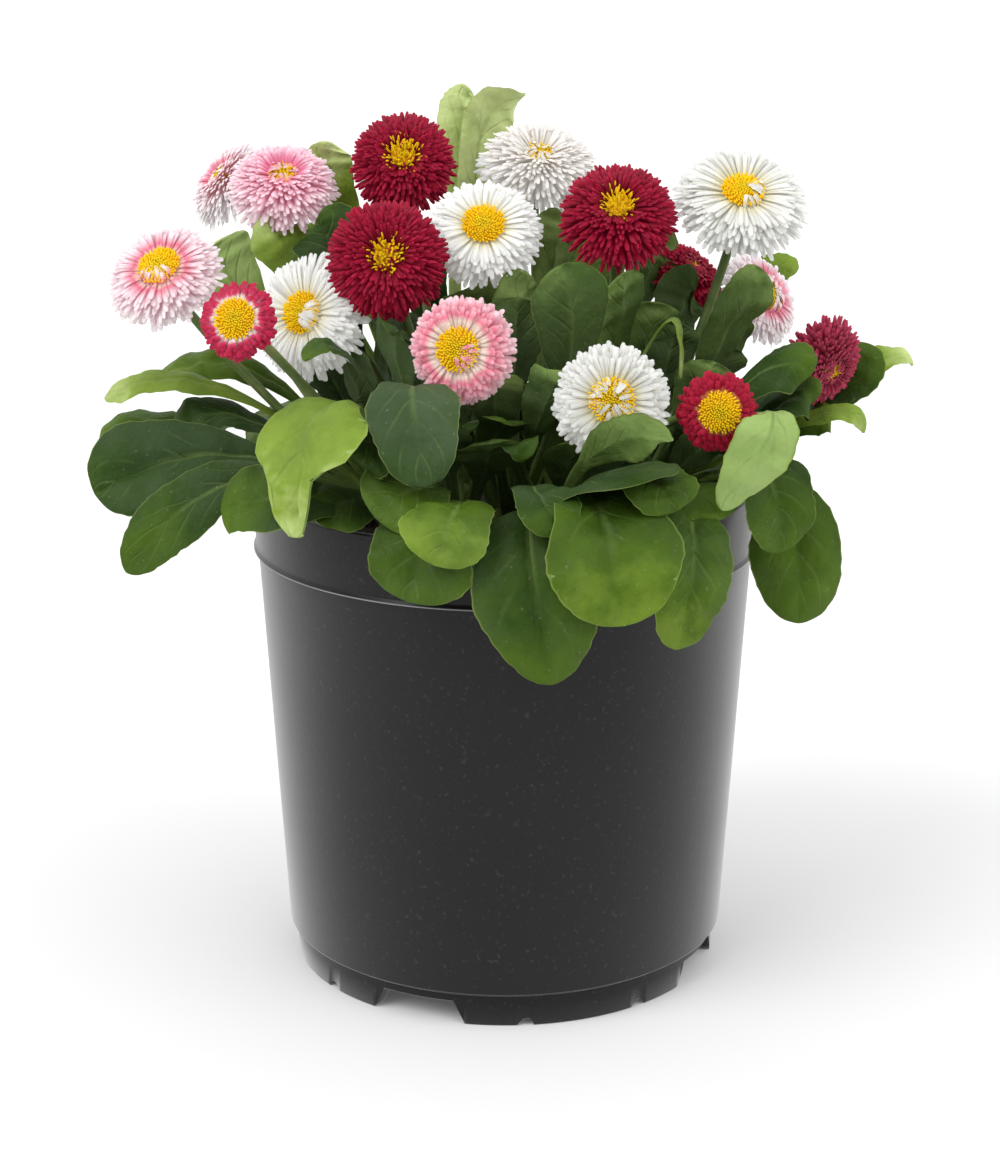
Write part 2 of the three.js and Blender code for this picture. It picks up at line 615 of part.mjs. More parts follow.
BLOOMS.forEach((bloom, index) => {
  const label = `bloom_${String(index + 1).padStart(2, '0')}`;
  daisy.add(meshOf(`${label}_stalk`, stalkSolid(bloom), COLOURS.stalk, 0.6));
  const head = new THREE.Group();
  head.applyMatrix4(headPlace(bloom));
  head.add(meshOf(`${label}_rays`, raysSolid(bloom, 500 * index), COLOURS[bloom.colour], 0.7));
  head.add(meshOf(`${label}_disc`, discSolid(bloom), COLOURS.disc, 0.8));
  daisy.add(head);
});

export default daisy;
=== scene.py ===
import math

import bpy
import numpy as np
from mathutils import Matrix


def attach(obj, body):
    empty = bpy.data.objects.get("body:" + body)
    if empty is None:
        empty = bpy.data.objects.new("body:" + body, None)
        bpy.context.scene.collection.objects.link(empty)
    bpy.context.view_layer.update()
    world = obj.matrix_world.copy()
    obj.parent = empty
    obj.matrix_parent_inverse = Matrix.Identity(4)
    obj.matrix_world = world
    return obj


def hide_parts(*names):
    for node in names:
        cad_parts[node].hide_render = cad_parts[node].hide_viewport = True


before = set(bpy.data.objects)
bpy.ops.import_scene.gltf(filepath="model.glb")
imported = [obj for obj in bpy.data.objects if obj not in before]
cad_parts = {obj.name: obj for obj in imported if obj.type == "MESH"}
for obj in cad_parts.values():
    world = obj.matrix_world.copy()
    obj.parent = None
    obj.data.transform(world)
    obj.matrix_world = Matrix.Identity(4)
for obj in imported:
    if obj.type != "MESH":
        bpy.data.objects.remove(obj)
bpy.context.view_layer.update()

# Potted English daisy: the visible pieces, each worked out in millimetres from the same driving
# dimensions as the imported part, and put into its mesh in metres. +Z is up, the front faces -Y,
# and azimuths are in degrees from the front toward +X.
MM = 0.001
TAU = 2 * math.pi
GOLDEN_TURN = 137.508

# Pot
POT_HEIGHT = 118
RIM_RADIUS = 60
RIM_BAND = 15
RIM_STEP = 0.5
WALL = 1.4
WALL_FOOT_RADIUS = 53.4
FOOT_RADIUS = 51.6
FOOT_WIDTH = 4.2
FOOT_HEIGHT = 8
FLOOR_UNDERSIDE = 6
FLOOR_TOP = 7.5
FOOT_GAPS = 4
FOOT_GAP_AZIMUTH = -23.5
FOOT_GAP_ANGLE = 23
FOOT_GAP_TOP = 5.5
FOOT_END_FLARE = 1.5
NOTCH_OFFSETS = (-16, 16)
NOTCH_RADIUS = 1.7
DRAIN_RADIUS = 4.5
DRAIN_RING = 30
POT_SIDES = 480

# Soil and crowns
SOIL_TOP = 106
SOIL_FIT = 0.39
CROWN_RADIUS = 6.5
CROWN_BOTTOM = 99
CROWN_TOP = 112
STALK_FOOT = 107

# Leaves
PETIOLE_HALF_WIDTH = 1.6
PETIOLE_THICKNESS = 1.8
BLADE_THICKNESS = 0.7
BLADE_START = 0.3
BLADE_FOLD = 0.16
EDGE_WAVES = 9
TOOTH_PITCH = 3.4
TOOTH_DEPTH = 0.35
PETIOLE_ROWS = 9
BLADE_ROWS = 34
LEAF_COLUMNS = 15

# Stalks and heads
STALK_RADIUS = 1.1
STALK_SIDES = 12
STALK_ROWS = 36
STALK_HAIRS = 240
CUP_RADIUS = 5.2
CUP_DEPTH = 4
CUP_TOP = -1.8
BRACTS = 13
HEAD_FLOOR = -1.5
STALK_NECK = 16
STALK_RISE = 26
PETAL_SAG = 0.1
PETAL_STEPS = np.array([0, 0.25, 0.5, 0.72, 0.88, 0.96, 1.0])

CROWNS = {
    "left": (-24, 2),
    "front_left": (-11, -13),
    "front_right": (11, -12),
    "right": (27, 2),
    "back_left": (-12, 18),
    "back_right": (13, 18),
    "centre": (1, 3),
}

# Leaves: tuft, middle of the spine, tip, blade width, roll about the spine, and tone from 0,
# deep blue-green, to 1, yellow-green. Some end with how pointed the tip is, and one with a lobe
LEAVES = [
    ("left", (-62, -15, 127), (-94, -24, 120), 24, -44, 0.16),
    ("left", (-73, 8, 128), (-97, 6, 126), 14, -20, 0.40),
    ("left", (-58, -28, 125), (-85, -40, 106), 15, -40, 0.28, 0.9),
    ("left", (-58, 12, 140), (-85, 14, 138), 13, -22, 0.52, 0.6),
    ("left", (-64, -2, 139), (-94, -4, 138), 12, -16, 0.68),
    ("left", (-59, -2, 132), (-76, -6, 131), 14, -30, 0.22),
    ("left", (-60, 14, 155), (-71, 17, 171), 18, 120, 0.90),
    ("left", (-60, 30, 124), (-80, 44, 112), 20, 0, 0.40),
    ("front_left", (-39, -45, 124), (-63, -42, 121), 19, -28, 0.34, 0.6),
    ("front_left", (-37, -38, 144), (-45, -58, 119), 26, 0, 0.70, 0.0, 1.0),
    ("front_left", (-20, -40, 148), (-17, -61, 131), 21, 0, 0.02),
    ("front_left", (-23, -42, 134), (-34, -51, 136), 18, -30, 0.20),
    ("front_left", (-16, -46, 127), (-28, -60, 124), 19, -20, 0.38),
    ("front_left", (-10, -57, 126), (-15, -73, 117), 20, 0, 0.52, 0.4),
    ("front_left", (-14, -54, 124), (-21, -66, 107), 25, 0, 0.36),
    ("front_left", (-33, -20, 148), (-45, -28, 152), 8, -12, 0.35, 0.8),
    ("front_left", (-23, -22, 146), (-24, -27, 158), 13, 0, 0.10),
    ("front_left", (-5, -31, 127), (-4, -45, 137), 15, 0, 0.20),
    ("front_left", (-13, -32, 130), (-16, -42, 141), 14, 0, 0.15),
    ("front_right", (5, -61, 122), (10, -71, 90), 26, 0, 0.30, 0.8),
    ("front_right", (6, -50, 128), (12, -70, 123), 14, 0, 0.20),
    ("front_right", (19, -57, 127), (25, -74, 104), 30, 0, 0.46, 0.3),
    ("front_right", (19, -56, 137), (35, -68, 143), 13, -50, 0.45),
    ("front_right", (14, -53, 127), (37, -59, 135), 21, 16, 0.20, 0.3),
    ("front_right", (26, -48, 130), (36, -63, 126), 18, 0, 0.34),
    ("front_right", (2, -35, 132), (6, -44, 134), 9, 0, 0.18),
    ("front_right", (35, -14, 156), (40, -18, 146), 6, 0, 0.70),
    ("front_right", (13, -34, 127), (17, -44, 136), 14, 0, 0.20),
    ("right", (40, -50, 122), (37, -62, 95), 18, -15, 0.45, 0.6),
    ("right", (59, -22, 122), (67, -33, 92), 21, 40, 0.40),
    ("right", (54, -36, 129), (61, -41, 111), 19, 12, 0.34, 1.0),
    ("right", (57, -42, 143), (47, -53, 124), 14, 180, 0.70),
    ("right", (48, -12, 150), (59, -14, 170), 16, -32, 0.30, 0.5),
    ("right", (54, -21, 144), (69, -27, 149), 14, 42, 0.30, 0.6),
    ("right", (58, -20, 137), (70, -24, 142), 14, 35, 0.30),
    ("right", (69, 0, 132), (84, 5, 150), 17, 50, 0.30),
    ("right", (80, 10, 140), (98, 12, 143), 10, 25, 0.84, 1.9),
    ("right", (68, -18, 136), (82, -21, 134), 7, 25, 0.74, 1.4),
    ("right", (64, -8, 130), (76, -10, 135), 10, 35, 0.45),
    ("right", (39, 6, 150), (45, 8, 162), 17, -85, 0.12),
    ("right", (40, -27, 128), (50, -31, 137), 14, -30, 0.25),
    ("right", (54, 28, 122), (67, 44, 106), 20, 0, 0.45),
    ("centre", (14, -20, 147), (12, -25, 173), 18, 0, 0.22),
    ("centre", (23, -8, 146), (26, -14, 169), 16, -10, 0.32),
    ("centre", (7, -32, 138), (13, -36, 151), 13, -20, 0.25),
    ("centre", (-2, -27, 137), (-2, -28, 149), 14, 0, 0.25),
    ("centre", (1, -6, 148), (7, -5, 166), 16, 0, 0.50),
    ("centre", (-6, -1, 150), (-8, 0, 164), 14, 70, 0.45),
    ("centre", (10, 8, 160), (14, 11, 178), 15, -80, 0.50),
    ("centre", (32, 2, 142), (35, 2, 156), 11, -80, 0.25),
    ("back_left", (-38, 30, 168), (-42, 31, 194), 12, -60, 0.80, 0.5),
    ("back_left", (-45, 11, 160), (-54, 12, 176), 16, -60, 0.70),
    ("back_left", (-43, 42, 155), (-54, 50, 167), 16, -30, 0.55),
    ("back_left", (-12, 38, 180), (-8, 42, 205), 12, 0, 0.96, 0.4),
    ("back_left", (-20, 61, 124), (-26, 76, 98), 25, 0, 0.40),
    ("back_left", (-45, 45, 126), (-62, 60, 112), 22, 0, 0.45),
    ("back_left", (-28, 44, 150), (-34, 60, 164), 17, 0, 0.45),
    ("back_right", (-7, 35, 180), (5, 38, 205), 13, 0, 1.00, 0.4),
    ("back_right", (54, 36, 150), (72, 38, 161), 13, 40, 0.55),
    ("back_right", (32, 22, 156), (37, 24, 169), 15, -70, 0.30),
    ("back_right", (8, 62, 123), (10, 75, 92), 25, 0, 0.40),
    ("back_right", (38, 50, 126), (52, 66, 112), 23, 0, 0.45),
    ("back_right", (20, 42, 150), (24, 58, 168), 17, 0, 0.45),
]
# Smaller inner leaves that close the gaps between the stalks
INNER_LEAVES = [
    ("right", (37, -2, 142), (40, -3, 156), 13, -70, 0.10),
    ("right", (55, -12, 134), (67, -14, 141), 15, 30, 0.16),
    ("right", (41, -20, 131), (47, -24, 141), 13, -40, 0.12),
    ("right", (45, -6, 138), (52, -8, 152), 13, -40, 0.16),
    ("left", (-33, -8, 137), (-37, -10, 151), 14, 0, 0.10),
    ("left", (-38, 2, 136), (-46, 4, 148), 13, -70, 0.14),
    ("front_right", (22, -30, 125), (30, -38, 134), 13, -20, 0.12),
    ("centre", (-12, -8, 141), (-14, -10, 155), 14, 20, 0.10),
    ("centre", (20, -6, 136), (24, -8, 150), 14, -30, 0.10),
    ("back_right", (23, 14, 146), (26, 15, 161), 15, -80, 0.16),
    ("back_left", (-22, 9, 142), (-26, 9, 157), 14, -60, 0.16),
    ("back_left", (-18, 26, 150), (-20, 28, 168), 14, -60, 0.30),
    ("centre", (2, -12, 144), (3, -14, 164), 14, 0, 0.10),
    ("front_right", (36, -38, 124), (48, -49, 121), 17, 10, 0.40),
    ("front_right", (20, -44, 122), (28, -56, 124), 15, 0, 0.25),
    ("front_left", (-28, -38, 122), (-42, -50, 121), 17, -20, 0.30),
    ("left", (-37, 0, 161), (-44, 1, 179), 17, -70, 0.16),
    ("left", (-27, -5, 140), (-31, -6, 158), 14, -60, 0.30),
    ("right", (33, -2, 142), (35, -3, 161), 14, -60, 0.30),
    ("right", (47, -2, 140), (52, -4, 158), 14, -50, 0.25),
    ("right", (42, -12, 134), (48, -14, 149), 15, -40, 0.30),
]
YOUNG_LEAVES = 6

# Forms of head. Petals are read along a spiral from the outermost, through the middle one, to
# the innermost: share of the radius that they reach, slope in degrees and width. Quill is how
# far each is rolled into a tube
FORMS = {
    "open": {
        "disc": 4.6, "height": 2.4, "petals": 400, "quill": 0.05,
        "reach": (1.04, 0.98, 0.78), "slope": (-8, 5, 17), "width": (1.3, 1.2, 1.0),
    },
    "full": {
        "disc": 3.9, "height": 3.0, "petals": 560, "quill": 0.45,
        "reach": (1.03, 0.93, 0.60), "slope": (-10, 15, 42), "width": (1.15, 1.0, 0.85),
    },
    "small": {
        "disc": 4.2, "height": 2.2, "petals": 190, "quill": 0.15,
        "reach": (1.04, 0.98, 0.80), "slope": (-5, 7, 22), "width": (1.25, 1.2, 1.0),
    },
}

# Blooms: centre of the head, azimuth and elevation it faces, radius, form, foot of the stalk,
# colouring, colour slot, and where short petals lie over the disc: azimuth about the head from
# its lowest point, spread and count. Florets shortens those of a disc that hardly shows
BLOOMS = [
    {"head": (-68, 36, 184), "facing": (-68, 42), "radius": 12, "form": "full", "foot": (-23, 5),
     "neck": 8, "lean": (0, 16), "look": "blushed_white", "slot": "petal_pink", "over": (0, 180, 30),
     "quill": 0.15, "florets": 0.3},
    {"head": (-53, 18, 186), "facing": (5, 56), "radius": 13, "form": "full", "foot": (-14, 20),
     "look": "pale_pink", "slot": "petal_pink", "over": (0, 180, 34), "quill": 0.15,
     "florets": 0.5},
    {"head": (-79, -8, 169), "facing": (-20, 46), "radius": 13.3, "form": "open", "foot": (-27, 2),
     "lean": (-9, -8), "look": "streaked_pink", "slot": "petal_pink", "over": (5, 65, 18)},
    {"head": (-60, -27, 161), "facing": (-10, 20), "radius": 8.6, "form": "small", "foot": (-23, -1),
     "neck": 6, "lean": (0, -14), "look": "ringed_crimson", "slot": "petal_crimson"},
    {"head": (-46, -8, 159), "facing": (-32, 20), "radius": 14.6, "form": "open", "foot": (-13, -11),
     "look": "white", "slot": "petal_white", "over": (85, 50, 12)},
    {"head": (-24, 14, 192), "facing": (0, 30), "radius": 12.2, "form": "full", "foot": (-11, 15),
     "look": "crimson", "slot": "petal_crimson", "over": (0, 180, 5)},
    {"head": (-27, -14, 173), "facing": (0, 20), "radius": 13.6, "form": "full", "foot": (-9, -11),
     "look": "crimson", "slot": "petal_crimson", "over": (0, 180, 12)},
    {"head": (-5, -2, 178), "facing": (0, 40), "radius": 13.2, "form": "open", "foot": (-1, 4),
     "look": "white", "slot": "petal_white"},
    {"head": (8, 24, 190), "facing": (10, 60), "radius": 14.5, "form": "full", "foot": (11, 20),
     "look": "old_white", "slot": "petal_white", "over": (0, 180, 40), "quill": 0.2,
     "florets": 0.5},
    {"head": (26, -4, 182), "facing": (0, 42), "radius": 13.5, "form": "full", "foot": (25, 5),
     "look": "crimson", "slot": "petal_crimson"},
    {"head": (55, 2, 185), "facing": (5, 50), "radius": 15.2, "form": "open", "foot": (26, -1),
     "lean": (4, -12), "look": "soft_white", "slot": "petal_white", "over": (60, 70, 16)},
    {"head": (45, 31, 162), "facing": (60, 50), "radius": 10.5, "form": "full", "foot": (13, 21),
     "look": "crimson", "slot": "petal_crimson", "over": (0, 180, 60), "florets": 0.2},
    {"head": (63, 24, 158), "facing": (50, 30), "radius": 11.5, "form": "open", "foot": (15, 17),
     "look": "blushed_white", "slot": "petal_white", "over": (0, 180, 50), "florets": 0.5},
    {"head": (-10, -36, 156), "facing": (-16, 12), "radius": 11.6, "form": "open", "foot": (2, 0),
     "look": "rose", "slot": "petal_pink", "over": (60, 50, 9)},
    {"head": (23, -48, 147), "facing": (0, 15), "radius": 12.3, "form": "open", "foot": (10, -9),
     "look": "soft_white", "slot": "petal_white", "over": (0, 180, 28)},
    {"head": (46.5, -45, 144), "facing": (5, 10), "radius": 8.5, "form": "small", "foot": (13, -12),
     "look": "gold_eyed_crimson", "slot": "petal_crimson"},
    {"head": (74, -8, 147), "facing": (38, -22), "radius": 11, "form": "full", "foot": (30, 1),
     "neck": 6, "lean": (10, 2), "look": "dusty_crimson", "slot": "petal_crimson",
     "over": (0, 180, 44), "florets": 0.3},
]


def chance(seed):
    """Repeatable numbers from 0 to 1 for whole numbers: the fraction of a large sine."""
    value = np.sin(np.asarray(seed, float) * 12.9898 + 4.1414) * 43758.5453
    return value - np.floor(value)


def unit(vectors):
    return vectors / np.linalg.norm(vectors, axis=-1, keepdims=True)


def around(radius, azimuth, height):
    """Points at a radius, azimuth and height about the Z axis, for numbers or whole arrays."""
    angle = np.radians(azimuth)
    parts = np.broadcast_arrays(radius * np.sin(angle), -radius * np.cos(angle), height)
    return np.stack(parts, axis=-1)


def smooth(low, high, value):
    """0 below low, 1 above high, and an S curve between."""
    share = np.clip((value - low) / (high - low), 0, 1)
    return share * share * (3 - 2 * share)


def marked(points, *marks):
    """Points with four marks each (across, along, layer, tone) as further columns."""
    columns = [np.broadcast_to(mark, points.shape[:-1])[..., None] for mark in marks]
    return np.concatenate([points, *columns], axis=-1)


def skins(rings, first, last):
    """Closed skins. rings holds items x rows x sides points, and first and last the pole points
    that close the two ends of each item. Gives the points, the quads and the triangles."""
    items, rows, sides, width = rings.shape
    each = rows * sides + 2
    points = np.concatenate([rings.reshape(items, rows * sides, width), first[:, None], last[:, None]], 1)
    row, side = np.meshgrid(np.arange(rows - 1), np.arange(sides), indexing="ij")
    here, beside = row * sides + side, row * sides + (side + 1) % sides
    quads = np.stack([here, beside, beside + sides, here + sides], axis=-1).reshape(-1, 4)
    around_ring = np.arange(sides)
    next_round = (around_ring + 1) % sides
    end = (rows - 1) * sides
    start_fan = np.stack([np.full(sides, each - 2), next_round, around_ring], axis=-1)
    end_fan = np.stack([np.full(sides, each - 1), end + around_ring, end + next_round], axis=-1)
    shift = (np.arange(items) * each)[:, None, None]
    fans = np.concatenate([start_fan, end_fan])
    return points.reshape(-1, width), (quads + shift).reshape(-1, 4), (fans + shift).reshape(-1, 3)


def outward(shape):
    """The same skins with their faces turned outside out, judged by the volume they enclose."""
    points, quads, triangles = shape
    split = np.concatenate([quads[:, :3], quads[:, [0, 2, 3]], triangles])
    a, b, c = (points[split[:, corner], :3] for corner in range(3))
    if np.einsum("ij,ij->", a, np.cross(b, c)) > 0:
        return shape
    return points, quads[:, ::-1], triangles[:, ::-1]


def gather(shapes):
    """Several skins as one: points stacked, and face numbers moved on to match."""
    points, quads, triangles, start = [], [], [], 0
    for shape in map(outward, shapes):
        points.append(shape[0])
        quads.append(shape[1] + start)
        triangles.append(shape[2] + start)
        start += len(shape[0])
    return np.concatenate(points), np.concatenate(quads), np.concatenate(triangles)


def mesh_object(name, shape, material, crease=60):
    """A Blender object from a gathered shape in millimetres, with its marks as attributes. It is
    shaded smooth except at edges sharper than the crease, in degrees."""
    points, quads, triangles = shape
    mesh = bpy.data.meshes.new(name)
    mesh.vertices.add(len(points))
    mesh.vertices.foreach_set("co", (points[:, :3] * MM).astype(np.float32).ravel())
    corners = np.concatenate([quads.ravel(), triangles.ravel()]).astype(np.int32)
    sizes = np.concatenate([np.full(len(quads), 4), np.full(len(triangles), 3)])
    mesh.loops.add(len(corners))
    mesh.loops.foreach_set("vertex_index", corners)
    mesh.polygons.add(len(sizes))
    starts = np.concatenate([[0], np.cumsum(sizes)[:-1]]).astype(np.int32)
    mesh.polygons.foreach_set("loop_start", starts)
    mesh.update(calc_edges=True)
    if points.shape[1] > 3:
        place = mesh.attributes.new("place", "FLOAT_VECTOR", "POINT")
        place.data.foreach_set("vector", points[:, 3:6].astype(np.float32).ravel())
        tone = mesh.attributes.new("tone", "FLOAT", "POINT")
        tone.data.foreach_set("value", points[:, 6].astype(np.float32))
    mesh.shade_smooth()
    mesh.set_sharp_from_angle(angle=math.radians(crease))
    mesh.materials.append(material)
    made = bpy.data.objects.new(name, mesh)
    bpy.context.scene.collection.objects.link(made)
    return made


def settle(piece, node):
    """A finished piece stands for a node: the node is hidden and the piece rides on the body."""
    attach(piece, "root")
    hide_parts(node)
    return piece


class Finish:
    """A procedural material in the making: short calls that add and link shader nodes."""

    def __init__(self, name, **settings):
        self.material = bpy.data.materials.new(name)
        self.material.use_nodes = True
        self.tree = self.material.node_tree
        self.shader = self.tree.nodes["Principled BSDF"]
        for socket, value in settings.items():
            self.shader.inputs[socket.replace("_", " ")].default_value = value

    def node(self, kind, inputs=None, **settings):
        made = self.tree.nodes.new(f"ShaderNode{kind}")
        for setting, value in settings.items():
            setattr(made, setting, value)
        for socket, value in (inputs or {}).items():
            self.feed(made.inputs[socket], value)
        return made

    def feed(self, socket, value):
        if isinstance(value, bpy.types.NodeSocket):
            self.tree.links.new(value, socket)
        else:
            socket.default_value = value

    def calc(self, operation, a, b=0.0, clamp=False):
        made = self.node("Math", {0: a, 1: b}, operation=operation, use_clamp=clamp)
        return made.outputs[0]

    def span(self, value, low, high, to_low=0.0, to_high=1.0):
        """Reads a value between low and high as a smooth step between two results."""
        inputs = {"Value": value, "From Min": low, "From Max": high, "To Min": to_low, "To Max": to_high}
        return self.node("MapRange", inputs, interpolation_type="SMOOTHSTEP").outputs[0]

    def noise(self, vector, scale, detail=2.0, roughness=0.5):
        inputs = {"Vector": vector, "Scale": scale, "Detail": detail, "Roughness": roughness}
        return self.node("TexNoise", inputs).outputs["Fac"]

    def mix(self, share, a, b, blend="MIX"):
        made = self.node("Mix", data_type="RGBA", blend_type=blend)
        self.feed(made.inputs[0], share)
        self.feed(made.inputs[6], a)
        self.feed(made.inputs[7], b)
        return made.outputs[2]

    def ramp(self, value, stops):
        made = self.node("ValToRGB", {"Fac": value})
        elements = made.color_ramp.elements
        while len(elements) < len(stops):
            elements.new(0.5)
        for element, (position, colour) in zip(elements, stops):
            element.position = position
            element.color = (*colour, 1)
        return made.outputs["Color"]

    def coordinates(self):
        return self.node("TexCoord").outputs["Object"]

    def marks(self):
        """The four marks of each point: across, along, layer and tone."""
        place = self.node("Attribute", attribute_name="place").outputs["Vector"]
        split = self.node("SeparateXYZ", {0: place})
        tone = self.node("Attribute", attribute_name="tone").outputs["Fac"]
        return (*split.outputs, tone)

    def vector(self, x, y, z):
        return self.node("CombineXYZ", {0: x, 1: y, 2: z}).outputs[0]

    def paint(self, colour, roughness=None, height=None, depth=0.001, strength=1.0):
        self.feed(self.shader.inputs["Base Color"], colour)
        if roughness is not None:
            self.feed(self.shader.inputs["Roughness"], roughness)
        if height is not None:
            bump = self.node("Bump", {"Height": height, "Distance": depth, "Strength": strength})
            self.feed(self.shader.inputs["Normal"], bump.outputs[0])
        return self.material


def black_plastic():
    """Moulded charcoal plastic: faint cloudiness, dust, and dried drops of water, with two thin painted highlight
    lines where the ledges at the foot of the rim band and above the feet would catch light.
    """
    finish = Finish("black_plastic", Specular_IOR_Level=0.22, Sheen_Weight=0.8, Sheen_Roughness=0.37)
    where = finish.coordinates()
    cloud = finish.noise(where, 28, 4)
    body = finish.mix(cloud, (0.0035, 0.0035, 0.0038, 1), (0.0065, 0.0064, 0.0065, 1))
    drops = finish.node("TexVoronoi", {"Vector": where, "Scale": 260.0}).outputs["Distance"]
    sparse = finish.span(finish.noise(where, 46, 1), 0.56, 0.66)
    stain = finish.calc("MULTIPLY", finish.span(drops, 0.3, 0.18), sparse)
    body = finish.mix(finish.calc("MULTIPLY", stain, 0.6), body, (0.006, 0.006, 0.006, 1))
    dust = finish.calc("MULTIPLY", finish.span(finish.noise(where, 900, 2), 0.62, 0.72), 0.35)
    body = finish.mix(dust, body, (0.05, 0.048, 0.045, 1))
    height = finish.node("SeparateXYZ", {0: where}).outputs["Z"]
    # Painted highlights: thin lighter rings at the ledge below the rim band and just above the feet, where light would
    # catch them.
    for level, painted_highlight in ((POT_HEIGHT - RIM_BAND - 0.1, 0.9), (FOOT_HEIGHT + 0.2, 0.25)):
        away = finish.calc("ABSOLUTE", finish.calc("SUBTRACT", height, level * MM))
        body = finish.mix(finish.span(away, 0.0004, 0.0001, 0.0, painted_highlight), body, (0.30, 0.30, 0.30, 1))
    grain = finish.noise(where, 1400, 2)
    rough = finish.span(cloud, 0.2, 0.8, 0.34, 0.42)
    return finish.paint(body, rough, grain, 0.00004, 0.6)


def damp_peat():
    """Dark peat: brown crumbs and fibres of several shades, quite matt."""
    finish = Finish("damp_peat")
    where = finish.coordinates()
    crumb = finish.noise(where, 420, 6, 0.7)
    brown = finish.ramp(crumb, [(0.3, (0.006, 0.004, 0.003)), (0.55, (0.028, 0.017, 0.010)),
                                (0.75, (0.075, 0.048, 0.028))])
    return finish.paint(brown, 0.95, crumb, 0.0015)


def leaf_skin():
    """Soft green leaf: tone from blue-green to yellow-green, its palest end partly painted light shining through the
    top leaves, cloudy and a little frosted, with pale ribs, yellower tips and edges, and a paler underside."""
    finish = Finish("leaf_skin", Specular_IOR_Level=0.10)
    where = finish.coordinates()
    across, along, upper, tone = finish.marks()
    width = finish.calc("ABSOLUTE", across)
    mottle = finish.noise(where, 75, 4, 0.6)
    warm = finish.span(along, 0.66, 1.0, -0.03, 0.17)
    tone = finish.calc("ADD", finish.calc("ADD", tone, warm), finish.span(mottle, 0.3, 0.7, -0.08, 0.08))
    # The palest stop, used by the topmost back leaves, is partly their own yellow-green and partly painted light
    # shining through them.
    green = finish.ramp(tone, [
        (0.0, (0.042, 0.072, 0.030)), (0.3, (0.023, 0.052, 0.006)), (0.55, (0.062, 0.116, 0.007)),
        (0.8, (0.195, 0.290, 0.032)), (1.0, (0.560, 0.670, 0.270)),
    ])
    frost = finish.span(finish.noise(where, 40, 4, 0.65), 0.40, 0.75, 0.0, 0.18)
    green = finish.mix(frost, green, (0.125, 0.175, 0.080, 1))
    slant = finish.calc("SUBTRACT", finish.calc("MULTIPLY", along, 9.0), finish.calc("MULTIPLY", width, 2.0))
    slant = finish.calc("ADD", slant, finish.calc("MULTIPLY", finish.noise(where, 30, 2), 1.6))
    wave = finish.calc("ABSOLUTE", finish.calc("SINE", finish.calc("MULTIPLY", slant, math.pi)))
    vein = finish.calc("MULTIPLY", finish.span(wave, 0.45, 0.0), finish.span(along, 0.3, 0.45))
    vein = finish.calc("MULTIPLY", vein, finish.span(width, 0.9, 0.4))
    vein = finish.calc("MULTIPLY", vein, finish.span(finish.noise(where, 90, 2), 0.35, 0.6))
    rib = finish.calc("MULTIPLY", finish.span(width, 0.11, 0.01), finish.span(along, 0.95, 0.5))
    lines = finish.calc("MAXIMUM", finish.calc("MULTIPLY", vein, 0.14), finish.calc("MULTIPLY", rib, 0.42))
    green = finish.mix(lines, green, (0.190, 0.270, 0.080, 1))
    below = finish.mix(mottle, (0.170, 0.280, 0.060, 1), (0.370, 0.490, 0.180, 1))
    below = finish.mix(finish.calc("MULTIPLY", lines, 1.5), below, (0.060, 0.110, 0.020, 1))
    pale = finish.span(tone, 0.25, 0.75, 0.12, 0.92)
    pale = finish.calc("MULTIPLY", pale, finish.span(upper, 0.6, 0.2))
    green = finish.mix(pale, green, below)
    green = finish.mix(finish.span(along, 0.36, 0.1, 0.0, 0.6), green, (0.150, 0.220, 0.055, 1))
    green = finish.mix(finish.span(width, 0.96, 1.0, 0.0, 0.38), green, (0.280, 0.340, 0.090, 1))
    fleck = finish.calc("MULTIPLY", finish.span(finish.noise(where, 1300, 1), 0.70, 0.77), 0.14)
    green = finish.mix(fleck, green, (0.420, 0.430, 0.330, 1))
    felt = finish.noise(where, 600, 4, 0.6)
    relief = finish.calc("ADD", finish.calc("MULTIPLY", felt, 0.5), finish.calc("MULTIPLY", mottle, 1.2))
    relief = finish.calc("SUBTRACT", relief, finish.calc("MULTIPLY", vein, 0.35))
    return finish.paint(green, finish.span(mottle, 0.2, 0.8, 0.42, 0.58), relief, 0.0006, 0.8)


def stem_skin():
    """Stalks, bracts and hairs: layer 0 is the stalk, 1 the bracts and 2 the pale hairs."""
    finish = Finish("stem_skin", Sheen_Weight=0.05)
    where = finish.coordinates()
    _, along, layer, tone = finish.marks()
    streak = finish.noise(where, 330, 2)
    green = finish.ramp(finish.calc("ADD", streak, finish.calc("MULTIPLY", tone, 0.2)), [
        (0.2, (0.050, 0.100, 0.014)), (0.6, (0.100, 0.160, 0.028)), (0.9, (0.175, 0.200, 0.060)),
    ])
    green = finish.mix(finish.span(along, 0.75, 1.0, 0.0, 0.45), green, (0.110, 0.085, 0.035, 1))
    bract = finish.mix(streak, (0.035, 0.060, 0.018, 1), (0.090, 0.070, 0.035, 1))
    green = finish.mix(finish.span(layer, 0.4, 0.6), green, bract)
    green = finish.mix(finish.span(layer, 1.4, 1.6), green, (0.22, 0.30, 0.11, 1))
    return finish.paint(green, 0.55, streak, 0.0002, 0.5)
